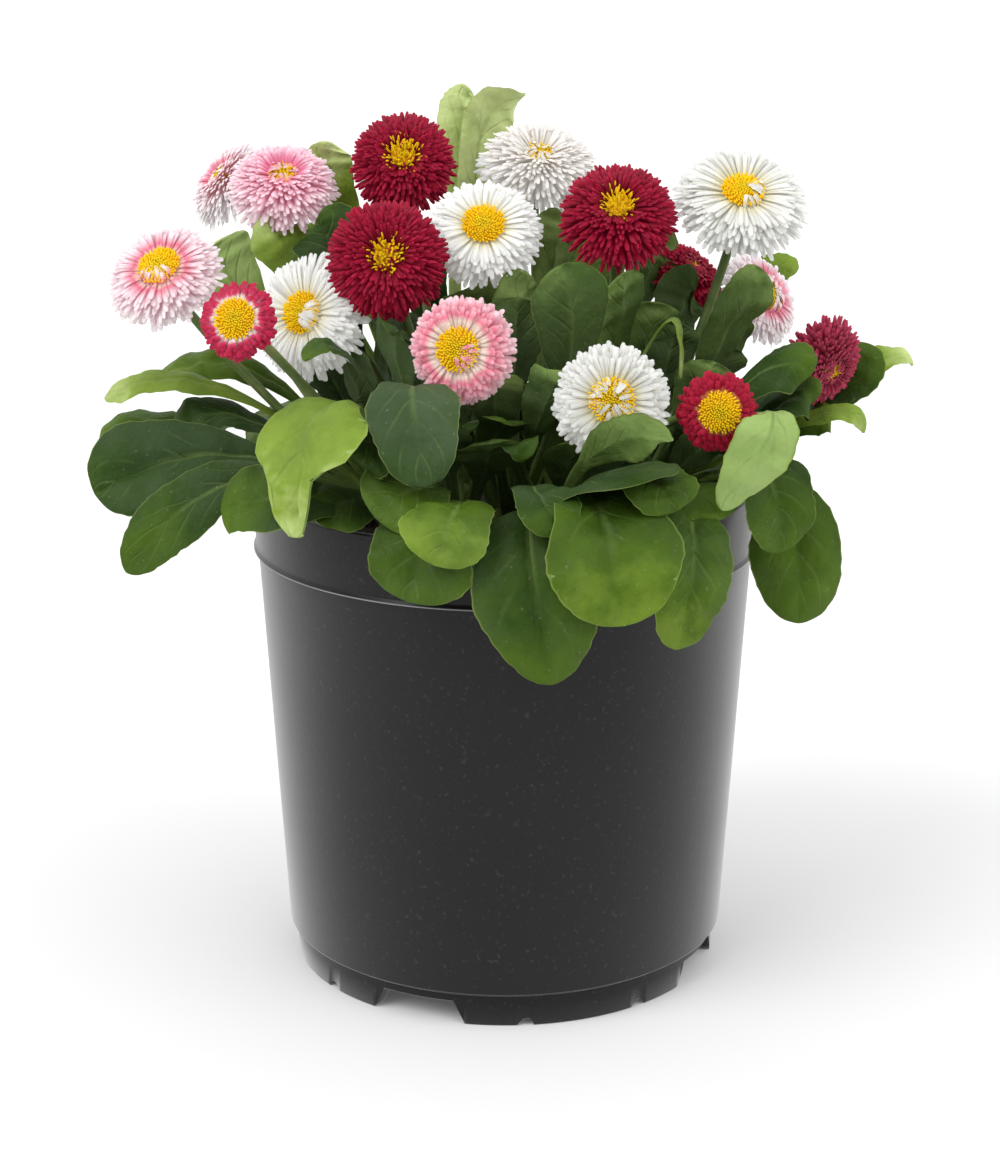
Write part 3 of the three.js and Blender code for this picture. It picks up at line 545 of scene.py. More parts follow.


# Colourings: petal colour from root to tip for outer and inner petals, share of streaking with
# its colour, share of brown flecks, how much light sinks in, and the colour of the faint painted glow they give off
LOOKS = {
    # Crimson deepens toward the petal root: partly the petals' own deeper red, partly painted shade deep among the
    # petals.
    "crimson": {
        "outer": [(0.0, (0.080, 0.000, 0.006)), (0.5, (0.190, 0.001, 0.014)), (1.0, (0.340, 0.003, 0.028))],
        "inner": [(0.0, (0.075, 0.000, 0.005)), (0.6, (0.180, 0.001, 0.013)), (1.0, (0.320, 0.004, 0.028))],
        "streak": (0.22, (0.60, 0.05, 0.13)), "flecks": 0.0, "glow": 0.0, "light": (0.30, 0.0, 0.03, 1),
    },
    "ringed_crimson": {
        "outer": [(0.34, (0.88, 0.82, 0.78)), (0.58, (0.56, 0.04, 0.12)), (0.9, (0.44, 0.006, 0.045))],
        "inner": [(0.42, (0.88, 0.84, 0.79)), (0.66, (0.56, 0.05, 0.13)), (0.9, (0.44, 0.006, 0.045))],
        "streak": (0.20, (0.84, 0.30, 0.40)), "flecks": 0.0, "glow": 0.0, "light": (0.35, 0.02, 0.06, 1),
    },
    "gold_eyed_crimson": {
        "outer": [(0.30, (0.50, 0.13, 0.06)), (0.46, (0.250, 0.001, 0.014)), (1.0, (0.380, 0.004, 0.028))],
        "inner": [(0.36, (0.60, 0.24, 0.10)), (0.52, (0.250, 0.001, 0.014)), (1.0, (0.360, 0.004, 0.028))],
        "streak": (0.26, (0.60, 0.05, 0.12)), "flecks": 0.0, "glow": 0.0, "light": (0.25, 0.0, 0.02, 1),
    },
    "pale_pink": {
        "outer": [(0.0, (0.86, 0.16, 0.30)), (0.5, (0.88, 0.38, 0.50)), (0.95, (0.89, 0.78, 0.81))],
        "inner": [(0.0, (0.84, 0.10, 0.24)), (0.5, (0.86, 0.22, 0.36)), (1.0, (0.89, 0.62, 0.70))],
        "streak": (0.5, (0.86, 0.14, 0.30)), "flecks": 0.0, "glow": 0.5, "light": (1, 0.55, 0.68, 1),
    },
    "streaked_pink": {
        "outer": [(0.30, (0.88, 0.56, 0.60)), (0.60, (0.87, 0.70, 0.74)), (0.95, (0.88, 0.83, 0.84))],
        "inner": [(0.25, (0.87, 0.56, 0.50)), (0.42, (0.83, 0.12, 0.22)), (0.85, (0.88, 0.72, 0.76))],
        "streak": (0.5, (0.84, 0.16, 0.26)), "flecks": 0.0, "glow": 0.5, "light": (1, 0.65, 0.72, 1),
    },
    "rose": {
        "outer": [(0.40, (0.88, 0.76, 0.66)), (0.64, (0.84, 0.18, 0.28)), (1.0, (0.89, 0.66, 0.70))],
        "inner": [(0.45, (0.88, 0.78, 0.66)), (0.74, (0.84, 0.16, 0.25)), (1.0, (0.88, 0.44, 0.51))],
        "streak": (0.35, (0.82, 0.12, 0.22)), "flecks": 0.0, "glow": 0.5, "light": (1, 0.50, 0.58, 1),
    },
    # Dusty crimson deepens toward the petal root: partly its own deeper red, partly painted shade deep among the
    # petals.
    "dusty_crimson": {
        "outer": [(0.0, (0.12, 0.002, 0.012)), (0.5, (0.25, 0.004, 0.028)), (1.0, (0.40, 0.028, 0.075))],
        "inner": [(0.0, (0.11, 0.001, 0.012)), (0.6, (0.22, 0.003, 0.024)), (1.0, (0.36, 0.020, 0.060))],
        "streak": (0.35, (0.68, 0.26, 0.34)), "flecks": 0.0, "glow": 0.0, "light": (0.30, 0.05, 0.08, 1),
    },
    "soft_white": {
        "outer": [(0.20, (0.72, 0.70, 0.50)), (0.45, (0.73, 0.72, 0.67)), (1.0, (0.76, 0.76, 0.74))],
        "inner": [(0.22, (0.72, 0.66, 0.40)), (0.55, (0.74, 0.73, 0.66)), (1.0, (0.77, 0.77, 0.74))],
        "streak": (0.25, (0.62, 0.61, 0.54)), "flecks": 0.0, "glow": 0.5, "light": (1, 0.98, 0.92, 1),
    },
    "white": {
        "outer": [(0.20, (0.84, 0.82, 0.64)), (0.45, (0.87, 0.86, 0.82)), (1.0, (0.90, 0.90, 0.88))],
        "inner": [(0.22, (0.84, 0.79, 0.54)), (0.55, (0.88, 0.87, 0.81)), (1.0, (0.90, 0.90, 0.88))],
        "streak": (0.25, (0.70, 0.69, 0.62)), "flecks": 0.0, "glow": 0.5, "light": (1, 0.98, 0.92, 1),
    },
    "old_white": {
        "outer": [(0.20, (0.76, 0.72, 0.62)), (0.50, (0.82, 0.80, 0.77)), (1.0, (0.83, 0.82, 0.80))],
        "inner": [(0.20, (0.74, 0.68, 0.56)), (0.60, (0.82, 0.79, 0.76)), (1.0, (0.80, 0.75, 0.70))],
        "streak": (0.3, (0.68, 0.60, 0.50)), "flecks": 0.6, "glow": 0.5, "light": (1, 0.95, 0.90, 1),
    },
    "blushed_white": {
        "outer": [(0.10, (0.84, 0.50, 0.55)), (0.40, (0.84, 0.80, 0.80)), (1.0, (0.86, 0.85, 0.85))],
        "inner": [(0.20, (0.84, 0.10, 0.20)), (0.50, (0.85, 0.24, 0.34)), (0.85, (0.88, 0.76, 0.79))],
        "streak": (0.2, (0.88, 0.36, 0.44)), "flecks": 0.0, "glow": 0.5, "light": (1, 0.85, 0.88, 1),
    },
}


def petal_skin(name, look):
    """Petals: colour from root to tip, by layer, with fine lengthwise streaks, light that sinks in, and a faint
    painted glow that lifts their shade.
    """
    # A faint constant emission in the look's light colour is painted glow that lifts the shade between the petals.
    finish = Finish(f"petal_{name}", Roughness=0.42, Specular_IOR_Level=0.14,
                    Subsurface_Weight=look["glow"], Subsurface_Scale=0.0007,
                    Subsurface_Radius=(1.0, 0.9, 0.85), Emission_Color=look["light"],
                    Emission_Strength=0.06)
    across, along, layer, tone = finish.marks()
    shift = finish.calc("ADD", along, finish.calc("MULTIPLY", finish.calc("SUBTRACT", tone, 0.5), 0.16))
    outer = finish.ramp(shift, look["outer"])
    inner = finish.ramp(shift, look["inner"])
    colour = finish.mix(finish.span(layer, 0.25, 0.75), outer, inner)
    grain = finish.vector(finish.calc("MULTIPLY", across, 3.6), finish.calc("MULTIPLY", tone, 60.0),
                          finish.calc("MULTIPLY", along, 1.4))
    streak = finish.noise(grain, 1.6, 2)
    share, streak_colour = look["streak"]
    colour = finish.mix(finish.span(streak, 0.48, 0.72, 0.0, share), colour, (*streak_colour, 1))
    shade = finish.span(tone, 0.0, 1.0, 0.86, 1.06)
    colour = finish.mix(1.0, colour, finish.vector(shade, shade, shade), "MULTIPLY")
    if look["flecks"]:
        where = finish.coordinates()
        spots = finish.span(finish.noise(where, 520, 1), 0.66, 0.72, 0.0, look["flecks"])
        colour = finish.mix(spots, colour, (0.30, 0.17, 0.06, 1))
    return finish.paint(colour, None, streak, 0.0002, 0.5)


def floret_skin():
    """Disc florets: golden, greener in the middle of the disc, deeper between the florets."""
    finish = Finish("floret_skin", Roughness=0.6, Specular_IOR_Level=0.15, Subsurface_Weight=0.15,
                    Subsurface_Scale=0.001)
    _, along, layer, tone = finish.marks()
    gold = finish.ramp(layer, [(0.0, (0.72, 0.58, 0.010)), (0.5, (0.92, 0.64, 0.006)), (1.0, (0.96, 0.62, 0.006))])
    gold = finish.mix(finish.span(along, 0.5, 0.0), gold, (0.74, 0.42, 0.003, 1))
    gold = finish.mix(finish.span(tone, 0.0, 1.0, 0.0, 0.25), gold, (0.90, 0.70, 0.05, 1))
    return finish.paint(gold)


def wall_radius(height):
    """Outer radius of the tapered wall, straight from its foot to the rim band."""
    top = POT_HEIGHT - RIM_BAND
    share = (height - FOOT_HEIGHT) / (top - FOOT_HEIGHT)
    return WALL_FOOT_RADIUS + share * (RIM_RADIUS - 2 * RIM_STEP - WALL_FOOT_RADIUS)


def foot_bottom(azimuth):
    """Height of the foot ring's lower edge: 0 on a foot, up a slanted end to the gap's top, and
    round each small drain notch as a half circle."""
    turn = 360 / FOOT_GAPS
    from_gap = np.abs((azimuth - FOOT_GAP_AZIMUTH + turn / 2) % turn - turn / 2)
    half = FOOT_GAP_ANGLE / 2
    gap = np.clip((half + FOOT_END_FLARE - from_gap) / (2 * FOOT_END_FLARE), 0, 1) * FOOT_GAP_TOP
    from_foot = (azimuth - FOOT_GAP_AZIMUTH) % turn - turn / 2
    arc = np.min([np.abs(from_foot - offset) for offset in NOTCH_OFFSETS], axis=0)
    across = np.radians(arc) * FOOT_RADIUS
    notch = np.sqrt(np.clip(NOTCH_RADIUS ** 2 - across ** 2, 0, None))
    return np.maximum(gap, notch)


def rounded(corners, radius, steps=4):
    """A profile whose inner corners are turned in short quadratic curves of about a radius."""
    corners = [np.array(corner, float) for corner in corners]
    made = [corners[0]]
    for before, corner, after in zip(corners, corners[1:], corners[2:]):
        arm = min(radius, 0.45 * np.linalg.norm(before - corner), 0.45 * np.linalg.norm(after - corner))
        start = corner + arm * unit(before - corner)
        end = corner + arm * unit(after - corner)
        for t in np.linspace(0, 1, steps):
            made.append((1 - t) ** 2 * start + 2 * t * (1 - t) * corner + t * t * end)
    made.append(corners[-1])
    return np.array(made)


def pot_shape():
    """The pot: a rounded profile of radius and height carried round the axis, whose two lowest
    rings follow the feet, gaps and notches."""
    top = POT_HEIGHT - RIM_BAND
    outside = rounded([
        (FOOT_RADIUS, FOOT_GAP_TOP + 0.2), (FOOT_RADIUS, FOOT_HEIGHT - 0.2),
        (WALL_FOOT_RADIUS, FOOT_HEIGHT + 0.5), (wall_radius(40), 40), (wall_radius(70), 70),
        (wall_radius(top - 0.3), top - 0.3), (RIM_RADIUS + 0.15, top - 0.1), (RIM_RADIUS + 0.1, top + 0.2),
        (RIM_RADIUS - 0.5, top + 0.9),
        (RIM_RADIUS, POT_HEIGHT - 0.2), (RIM_RADIUS - RIM_STEP, POT_HEIGHT),
        (RIM_RADIUS - WALL, POT_HEIGHT), (wall_radius(top) - WALL, top),
        (wall_radius(FLOOR_TOP) - WALL, FLOOR_TOP), (0.5, FLOOR_TOP),
    ], 0.35)
    azimuth = 360 * np.arange(POT_SIDES) / POT_SIDES
    inner_foot = FOOT_RADIUS - FOOT_WIDTH
    bottom = foot_bottom(azimuth)
    level = np.full(POT_SIDES, float(FLOOR_UNDERSIDE))
    bevel = 0.25
    rings = [
        around(0.5, azimuth, level), around(inner_foot - 0.3, azimuth, level),
        around(inner_foot, azimuth, np.minimum(level, bottom + bevel + 0.2)),
        around(inner_foot + bevel, azimuth, bottom), around(FOOT_RADIUS - bevel, azimuth, bottom),
        around(FOOT_RADIUS, azimuth, bottom + bevel),
    ]
    rings += [around(radius, azimuth, np.full(POT_SIDES, height)) for radius, height in outside]
    ends = [np.array([[0, 0, height]], float) for height in (FLOOR_UNDERSIDE, FLOOR_TOP)]
    return gather([skins(np.array(rings)[None], *ends)])


def make_pot():
    pot = mesh_object("nursery_pot", pot_shape(), black_plastic())
    centres = [(0.0, 0.0, 0.0)]
    for gap in range(FOOT_GAPS):
        centres.append(tuple(around(DRAIN_RING, FOOT_GAP_AZIMUTH + 360 * gap / FOOT_GAPS, 0.0)))
    azimuth = 360 * np.arange(40) / 40
    drills = []
    for centre in centres:
        rings = np.array([around(DRAIN_RADIUS, azimuth, np.full(40, float(z))) for z in (5, 9)]) + centre
        poles = [np.array([[centre[0], centre[1], z]], float) for z in (5, 9)]
        drills.append(skins(rings[None], *poles))
    drill = mesh_object("drill", gather(drills), pot.data.materials[0])
    holes = pot.modifiers.new("drain_holes", "BOOLEAN")
    holes.object = drill
    holes.operation = "DIFFERENCE"
    bpy.context.view_layer.update()
    finished = bpy.data.meshes.new_from_object(pot.evaluated_get(bpy.context.evaluated_depsgraph_get()))
    pot.modifiers.clear()
    pot.data = finished
    bpy.data.objects.remove(drill)
    settle(pot, "pot")


def soil_height(x, y):
    """Height of the soil: broad swells and small crumbs, with a pit under each crown."""
    swell = 0.5 * np.sin(0.21 * x + 1) * np.cos(0.17 * y) + 0.35 * np.sin(0.53 * x - 0.41 * y)
    crumbs = 0.9 * (chance(np.round(7 * x) + 131 * np.round(7 * y)) - 0.5)
    height = SOIL_TOP + swell + crumbs
    for crown_x, crown_y in CROWNS.values():
        apart = np.hypot(x - crown_x, y - crown_y) / (CROWN_RADIUS + SOIL_FIT)
        height = height - (SOIL_TOP - CROWN_BOTTOM) * np.exp(-apart ** 8)
    return height


def make_soil():
    """The root ball: up the inside of the wall, then over the crumbly top to its middle, with
    loose crumbs as small lumps on it."""
    sides = 150
    azimuth = 360 * np.arange(sides) / sides
    inset = WALL + SOIL_FIT
    edge = wall_radius(POT_HEIGHT - RIM_BAND) - inset
    level = np.full(sides, 1.0)
    rings = [
        around(wall_radius(FLOOR_TOP) - inset, azimuth, level * (FLOOR_TOP + 0.3)),
        around(edge, azimuth, level * (POT_HEIGHT - RIM_BAND)),
    ]
    for radius in np.linspace(edge - 0.1, 1.2, 46):
        flat = around(radius, azimuth, level)
        rings.append(around(radius, azimuth, soil_height(flat[:, 0], flat[:, 1])))
    poles = [np.array([[0, 0, FLOOR_TOP + 0.3]]), np.array([[0, 0, soil_height(0.0, 0.0)]])]
    crumbs = 260
    order = np.arange(crumbs)
    centre = around(edge * np.sqrt(0.1 + 0.86 * chance(order + 11)), GOLDEN_TURN * order, 0.0)
    centre[:, 2] = soil_height(centre[:, 0], centre[:, 1]) + 0.3
    size = 0.5 + 1.1 * chance(order + 400) ** 2
    ring_turn = 60 * np.arange(6)
    lumps = []
    for share, height in ((0.75, -0.5), (1.0, 0.1), (0.6, 0.6)):
        uneven = size[:, None] * (0.75 + 0.5 * chance(order[:, None] * 17 + ring_turn + 90 * share))
        lumps.append(around(share * uneven, ring_turn[None], height * size[:, None]) + centre[:, None])
    rises = np.array([0, 0, 1])[None] * size[:, None]
    loose = skins(np.stack(lumps, axis=1), centre - 0.9 * rises, centre + 0.8 * rises)
    shape = gather([skins(np.array(rings)[None], *poles), loose])
    settle(mesh_object("peat", shape, damp_peat()), "soil")


def quadratic(root, control, tip, t):
    """Points and directions of a quadratic curve at each t."""
    t = t[:, None]
    points = (1 - t) ** 2 * root + 2 * t * (1 - t) * control + t * t * tip
    return points, unit(2 * (1 - t) * (control - root) + 2 * t * (tip - control))


def leaf_half_width(t, width, point):
    """Half width along the spine: a narrow petiole, then a spoon-shaped swell to a blunt or, as
    point grows to 1, a tapered tip, and a sharp one toward 2."""
    u = np.clip((t - BLADE_START) / (1 - BLADE_START), 0, 1)
    taper = min(point, 1)
    swell = u ** (1.05 - 0.3 * taper) * np.clip(1 - u ** (3.0 - 1.6 * taper), 0, 1) ** max(0.5, 0.5 * point)
    return np.maximum(PETIOLE_HALF_WIDTH * (1 - 0.75 * t ** 6), width / 2 * swell / swell.max())


def leaf_shape(tuft, middle, tip, width, roll, tone, point=0.0, lobe=0.0, *, seed, rows=BLADE_ROWS,
               columns=LEAF_COLUMNS):
    """A leaf: for t along a quadratic spine and c across from edge to edge, a point lies c half
    widths to the side, its margin moved by slow lobes and small teeth. It is lifted by the
    blade's fold, by each edge's own wave, by a swelling on either side of the rib and by shallow
    puckers, and lies half the thickness above or below that. A lobe lets the tip hang from the
    left half while the right half ends in a rounded corner."""
    draw = lambda step: chance(seed + step)
    crown = np.array([*CROWNS[tuft], CROWN_TOP - 3], float)
    middle, tip = np.array(middle, float), np.array(tip, float)
    to_tip = unit((tip - crown) * (1, 1, 0))
    root = crown + (CROWN_RADIUS - 3) * to_tip
    control = 2 * middle - 0.5 * (root + tip)
    t = np.concatenate([
        np.linspace(0, BLADE_START, PETIOLE_ROWS, endpoint=False),
        BLADE_START + (1 - BLADE_START) * np.sin(np.linspace(0, math.pi / 2, rows)),
    ])
    at, along = quadratic(root, control, tip, t)
    level = np.cross((0, 0, 1), unit((tip - root) * (1, 1, 0)))
    side = unit(level - along * (along @ level)[:, None])
    angle = math.radians(roll)
    side = side * math.cos(angle) + np.cross(along, side) * math.sin(angle)
    upper = np.cross(along, side)
    length = np.linalg.norm(np.diff(at, axis=0), axis=1).sum() * (1 - BLADE_START)

    spread = np.linspace(-1, 1, columns)
    c_top = np.sign(spread) * np.abs(spread) ** 1.3
    c = np.concatenate([c_top, c_top[-2:0:-1]])[None]
    face = np.concatenate([np.ones(columns), -np.ones(columns - 2)])[None]
    face = np.where(np.abs(c) == 1, 0.0, face)
    half = leaf_half_width(t, width, point)[:, None]
    t = t[:, None]
    u = np.clip((t - BLADE_START) / (1 - BLADE_START), 0, 1)
    blade = np.maximum(0, half - PETIOLE_HALF_WIDTH)
    grown = smooth(0, 3, blade)
    edge_turn = TAU * np.where(c < 0, draw(1), draw(2))
    slow = 0.06 * np.sin(7 * u + edge_turn) + 0.045 * np.sin(15 * u + 2.3 * edge_turn)
    right = smooth(0, 0.5, c) * lobe
    slow = slow + right * (0.35 * np.exp(-((u - 0.68) / 0.16) ** 2) - 0.88 * smooth(0.78, 0.85, u))
    slow = slow - smooth(0, -0.5, c) * lobe * 0.5 * smooth(0.70, 0.88, u)
    teeth = np.abs(np.sin(math.pi * round(length / TOOTH_PITCH) * u + edge_turn)) - 0.6
    reach = half * c * (1 + grown * slow * c ** 2) + TOOTH_DEPTH * grown * teeth * np.sign(c) * c ** 8
    fold = BLADE_FOLD * (1.9 * draw(3) - 0.5)
    wave = (0.05 + 0.10 * draw(4)) * np.sin(EDGE_WAVES * t + edge_turn)
    wave = wave + 0.05 * np.sin(2.1 * EDGE_WAVES * t + 2 * edge_turn)
    lift = blade * (fold + wave) * np.abs(c) ** 1.5
    veins = np.sin(math.pi * (7 * t + np.sin(5 * t + edge_turn) - 2.2 * np.abs(c)))
    swell = 0.010 * veins ** 2 * np.sqrt(np.clip(1 - c ** 2, 0, 1))
    swell = swell + 0.10 * (0.5 + draw(5)) * np.sin(math.pi * np.abs(c) ** 0.8)
    pucker = np.zeros_like(reach)
    for step, (pitch, depth) in enumerate(((11.0, 0.28), (7.0, 0.20), (4.4, 0.10))):
        turn = math.pi * draw(6 + step)
        way = reach * math.cos(turn) + length * u * math.sin(turn)
        pucker += depth * np.sin(TAU * (way / pitch + draw(9 + step)))
    trough = np.exp(-(c * half / 0.9) ** 2) * smooth(0, 2, blade)
    thick = BLADE_THICKNESS + (PETIOLE_THICKNESS - BLADE_THICKNESS) * smooth(0.42, 0.2, t)
    shell = face * thick / 2 * np.sqrt(np.clip(1 - c ** 4, 0, 1))
    rib = trough * np.where(face < 0, -0.45, -0.28) * (1.1 - t)
    height = lift + blade * swell * grown + pucker * grown + shell + rib
    points = at[:, None] + side[:, None] * reach[..., None] + upper[:, None] * height[..., None]
    rings = marked(points, c, t, (face + 1) / 2, tone)[None]
    poles = [marked(at[end][None], 0.0, float(t[end, 0]), 0.5, tone) for end in (0, -1)]
    return skins(rings, *poles)


def young_leaves(tuft, seed):
    """Short dark leaves that fill the heart of a tuft, one golden turn apart."""
    crown = np.array(CROWNS[tuft], float)
    made = []
    for order in range(YOUNG_LEAVES):
        turn = GOLDEN_TURN * order + 360 * chance(seed + order)
        length = 17 + 9 * chance(seed + 20 + order)
        steep = 16 + 16 * chance(seed + 40 + order)
        middle = np.array([*crown, CROWN_TOP]) + around(0.6 * length, turn, 0.75 * steep)
        tip = np.array([*crown, CROWN_TOP]) + around(length, turn, steep)
        width = 10 + 5 * chance(seed + 60 + order)
        tone = 0.1 + 0.25 * chance(seed + 80 + order)
        roll = 30 * (chance(seed + 99 + order) - 0.5)
        made.append(leaf_shape(tuft, middle, tip, width, roll, tone, seed=seed + 13 * order, rows=16, columns=9))
    return made


def crown_shape(tuft, seed):
    """The crown: a knuckle of old leaf bases, as a ridged profile about its own axis."""
    azimuth = 360 * np.arange(40) / 40
    ridges = 1 + 0.06 * np.sin(np.radians(7 * azimuth)) + 0.05 * (chance(seed + np.arange(40)) - 0.5)
    rings = []
    for share, height in ((0.95, CROWN_BOTTOM), (0.94, 104), (0.92, 108), (0.8, 110.5), (0.5, 111.8)):
        rings.append(around(CROWN_RADIUS * share * ridges, azimuth, np.full(40, float(height))))
    centre = np.array([*CROWNS[tuft], 0.0])
    rings = marked(np.array(rings) + centre, 0.3, 0.15, 1.0, 0.5)[None]
    poles = [marked((centre + (0, 0, z))[None], 0.3, 0.1, 1.0, 0.5) for z in (CROWN_BOTTOM, CROWN_TOP)]
    return skins(rings, *poles)


def make_tufts():
    skin = leaf_skin()
    for order, tuft in enumerate(CROWNS):
        shapes = [crown_shape(tuft, 900 + order)]
        for index, (owner, *leaf) in enumerate(LEAVES + INNER_LEAVES):
            if owner == tuft:
                shapes.append(leaf_shape(tuft, *leaf, seed=31 * index))
        shapes += young_leaves(tuft, 5000 + 211 * order)
        settle(mesh_object(f"leaves_{tuft}", gather(shapes), skin), f"tuft_{tuft}")


def head_frame(bloom):
    """The head's centre, and its axes: across, upward and out of the face."""
    azimuth, elevation = bloom["facing"]
    slope = math.radians(elevation)
    normal = around(math.cos(slope), azimuth, math.sin(slope))
    across = unit(np.cross((0, 0, 1), normal))
    return np.array(bloom["head"], float), np.array([across, np.cross(normal, across), normal])


def placed(bloom, points):
    """Points of a head, with any marks, moved from its own axes to where it stands."""
    centre, axes = head_frame(bloom)
    return np.concatenate([points[..., :3] @ axes + centre, points[..., 3:]], axis=-1)


def stalk_curve(bloom, t):
    """Points and directions of the stalk: a cubic curve up out of the crown and into the back
    of the head along its axis."""
    centre, axes = head_frame(bloom)
    end = centre + axes[2] * (CUP_TOP - CUP_DEPTH + 1)
    behind = centre + axes[2] * (CUP_TOP - CUP_DEPTH - bloom.get("neck", STALK_NECK))
    start = np.array([*bloom["foot"], STALK_FOOT], float)
    rise = start + 0.3 * (behind - start)
    rise[2] = STALK_FOOT + STALK_RISE
    rise[:2] += bloom.get("lean", (0, 0))
    t = t[:, None]
    points = (1 - t) ** 3 * start + 3 * t * (1 - t) ** 2 * rise + 3 * t * t * (1 - t) * behind + t ** 3 * end
    ways = (1 - t) ** 2 * (rise - start) + 2 * t * (1 - t) * (behind - rise) + t * t * (end - behind)
    return points, unit(ways)


def stalk_shapes(bloom, seed):
    """The stalk as a slightly ribbed tube along its curve, and fine hairs that lean upward."""
    t = np.linspace(0, 1, STALK_ROWS)
    at, along = stalk_curve(bloom, t)
    side = unit(np.cross((1, 0, 0), along))
    other = np.cross(along, side)
    turn = TAU * np.arange(STALK_SIDES) / STALK_SIDES
    ribs = 1 + 0.05 * np.sin(3 * turn)[None] + 0.12 * smooth(0.9, 1.0, t)[:, None]
    spokes = side[:, None] * np.cos(turn)[None, :, None] + other[:, None] * np.sin(turn)[None, :, None]
    tube = at[:, None] + STALK_RADIUS * ribs[..., None] * spokes
    rings = marked(tube, 0.0, t[:, None], 0.0, chance(seed))[None]
    poles = [marked(at[end][None], 0.0, t[end], 0.0, chance(seed)) for end in (0, -1)]

    order = np.arange(STALK_HAIRS)
    place = 0.08 + 0.9 * chance(seed + order)
    at, along = stalk_curve(bloom, place)
    side = unit(np.cross((1, 0, 0), along))
    turn = (TAU * chance(seed + 500 + order))[:, None]
    out = side * np.cos(turn) + np.cross(along, side) * np.sin(turn)
    beside = np.cross(along, out)
    length = (0.25 + 0.3 * chance(seed + 900 + order))[:, None]
    base = at + 0.95 * STALK_RADIUS * out
    thin = 0.035
    ring = np.stack([base + thin * along, base - thin * along + thin * beside, base - thin * along - thin * beside], 1)
    tip = base + length * unit(out + 0.6 * along)
    hairs = skins(marked(ring, 0.0, place[:, None], 2.0, 0.5)[:, None], marked(base - 0.2 * out, 0.0, place, 2.0, 0.5),
                  marked(tip, 0.0, place, 2.0, 0.5))
    return [skins(rings, *poles), hairs]


def cup_shapes(bloom, seed):
    """The cup behind a head: a small bowl and a ring of pointed bracts pressed to the petals."""
    turn = 360 * np.arange(26) / 26
    bowl = []
    for radius, height in ((1.6, -5.6), (3.4, -4.5), (4.5, -3.2), (4.9, -2.2), (4.6, -1.65)):
        bowl.append(around(radius, turn, np.full(26, height)))
    bowl = marked(np.array(bowl), 0.0, 0.0, 1.0, 0.5)[None]
    poles = [marked(np.array([[0, 0, z]]), 0.0, 0.0, 1.0, 0.5) for z in (CUP_TOP - CUP_DEPTH, -1.6)]

    order = np.arange(BRACTS)
    s = np.linspace(0, 1, 7)
    radius = np.interp(s, (0, 0.35, 0.7, 1), (1.3, 3.9, 5.1, 5.5))
    height = np.interp(s, (0, 0.35, 0.7, 1), (-5.7, -4.5, -2.7, -0.9))
    half = 1.25 * np.sqrt(np.clip(1 - s ** 3, 0, 1)) * (0.6 + 0.4 * s) + 0.05
    c = np.array([-1, 0, 1, 0])
    bulge = np.array([0, 0.3, 0, -0.2])
    azimuth = (360 * order / BRACTS + 8 * chance(seed + order))[:, None, None]
    spread = np.degrees(half[:, None] * c / radius[:, None])[None]
    out = radius[:, None] + bulge + 0.25 * (chance(seed + 40 + order) - 0.3)[:, None, None] * s[:, None]
    bracts = around(out, azimuth + spread, height[:, None] + 0.0 * out)
    tips = around(radius[-1] + 0.1, azimuth[:, 0, 0], np.full(BRACTS, height[-1] + 0.6))
    roots = around(radius[0], azimuth[:, 0, 0], np.full(BRACTS, height[0]))
    tone = chance(seed + 80 + order)
    leaves = skins(marked(bracts, 0.0, s[:, None], 1.0, tone[:, None, None]), marked(roots, 0.0, 0.0, 1.0, tone),
                   marked(tips, 0.0, 1.0, 1.0, tone))
    bowl_points, *bowl_faces = skins(bowl, *poles)
    leaf_points, *leaf_faces = leaves
    return [(placed(bloom, bowl_points), *bowl_faces), (placed(bloom, leaf_points), *leaf_faces)]


def straps(azimuth, radial, height, width, quill, seed):
    """Petals about +Z, one for each azimuth. Their spines run through the given distances from
    the axis and heights; the section is a shallow trough, rolled toward a tube by quill, and the
    outline is a strap with a round tip. Each sways and twists a little by its own draw."""
    count = len(azimuth)
    order = np.arange(count)
    draw = lambda step: (chance(seed + step * count + order) - 0.5)[:, None]
    s = PETAL_STEPS[None]
    outline = (0.5 + 0.5 * smooth(0, 0.6, s)) * np.sqrt(np.clip(1 - np.clip((s - 0.86) / 0.15, 0, 1) ** 2.6, 0, 1))
    outline = outline * (1 + 0.3 * quill * np.exp(-((s - 0.86) / 0.09) ** 2))
    half = 0.5 * np.broadcast_to(width, count)[:, None] * (1 + 0.25 * draw(2)) * outline + 0.03
    twist = 0.9 * draw(3) * s
    angle = np.radians(azimuth)[:, None]
    out = np.stack([np.sin(angle), -np.cos(angle), 0 * angle], -1)
    beside = np.stack([np.cos(angle), np.sin(angle), 0 * angle], -1)
    sway = 0.9 * draw(1) * s ** 2
    spine = out * radial[..., None] + beside * sway[..., None] + np.array([0, 0, 1.0]) * height[..., None]
    along = unit(np.gradient(spine, axis=1))
    side = unit(beside - along * np.einsum("nsk,nsk->ns", along, beside + 0 * along)[..., None])
    upper = np.cross(side, along)
    side, upper = (side * np.cos(twist)[..., None] + upper * np.sin(twist)[..., None],
                   upper * np.cos(twist)[..., None] - side * np.sin(twist)[..., None])
    c = np.array([-1, 0, 1, 0])
    face = np.array([0, 1, 0, -1])
    fat = 0.05 + 0.15 * quill
    lateral = half[..., None] * c * (1 - 0.25 * quill)
    rise = half[..., None] * ((0.15 + 0.75 * quill) * c ** 2 - 0.12) + fat * face * np.minimum(1, 2 * half[..., None])
    points = spine[:, :, None] + side[:, :, None] * lateral[..., None] + upper[:, :, None] * rise[..., None]
    return points, spine, c


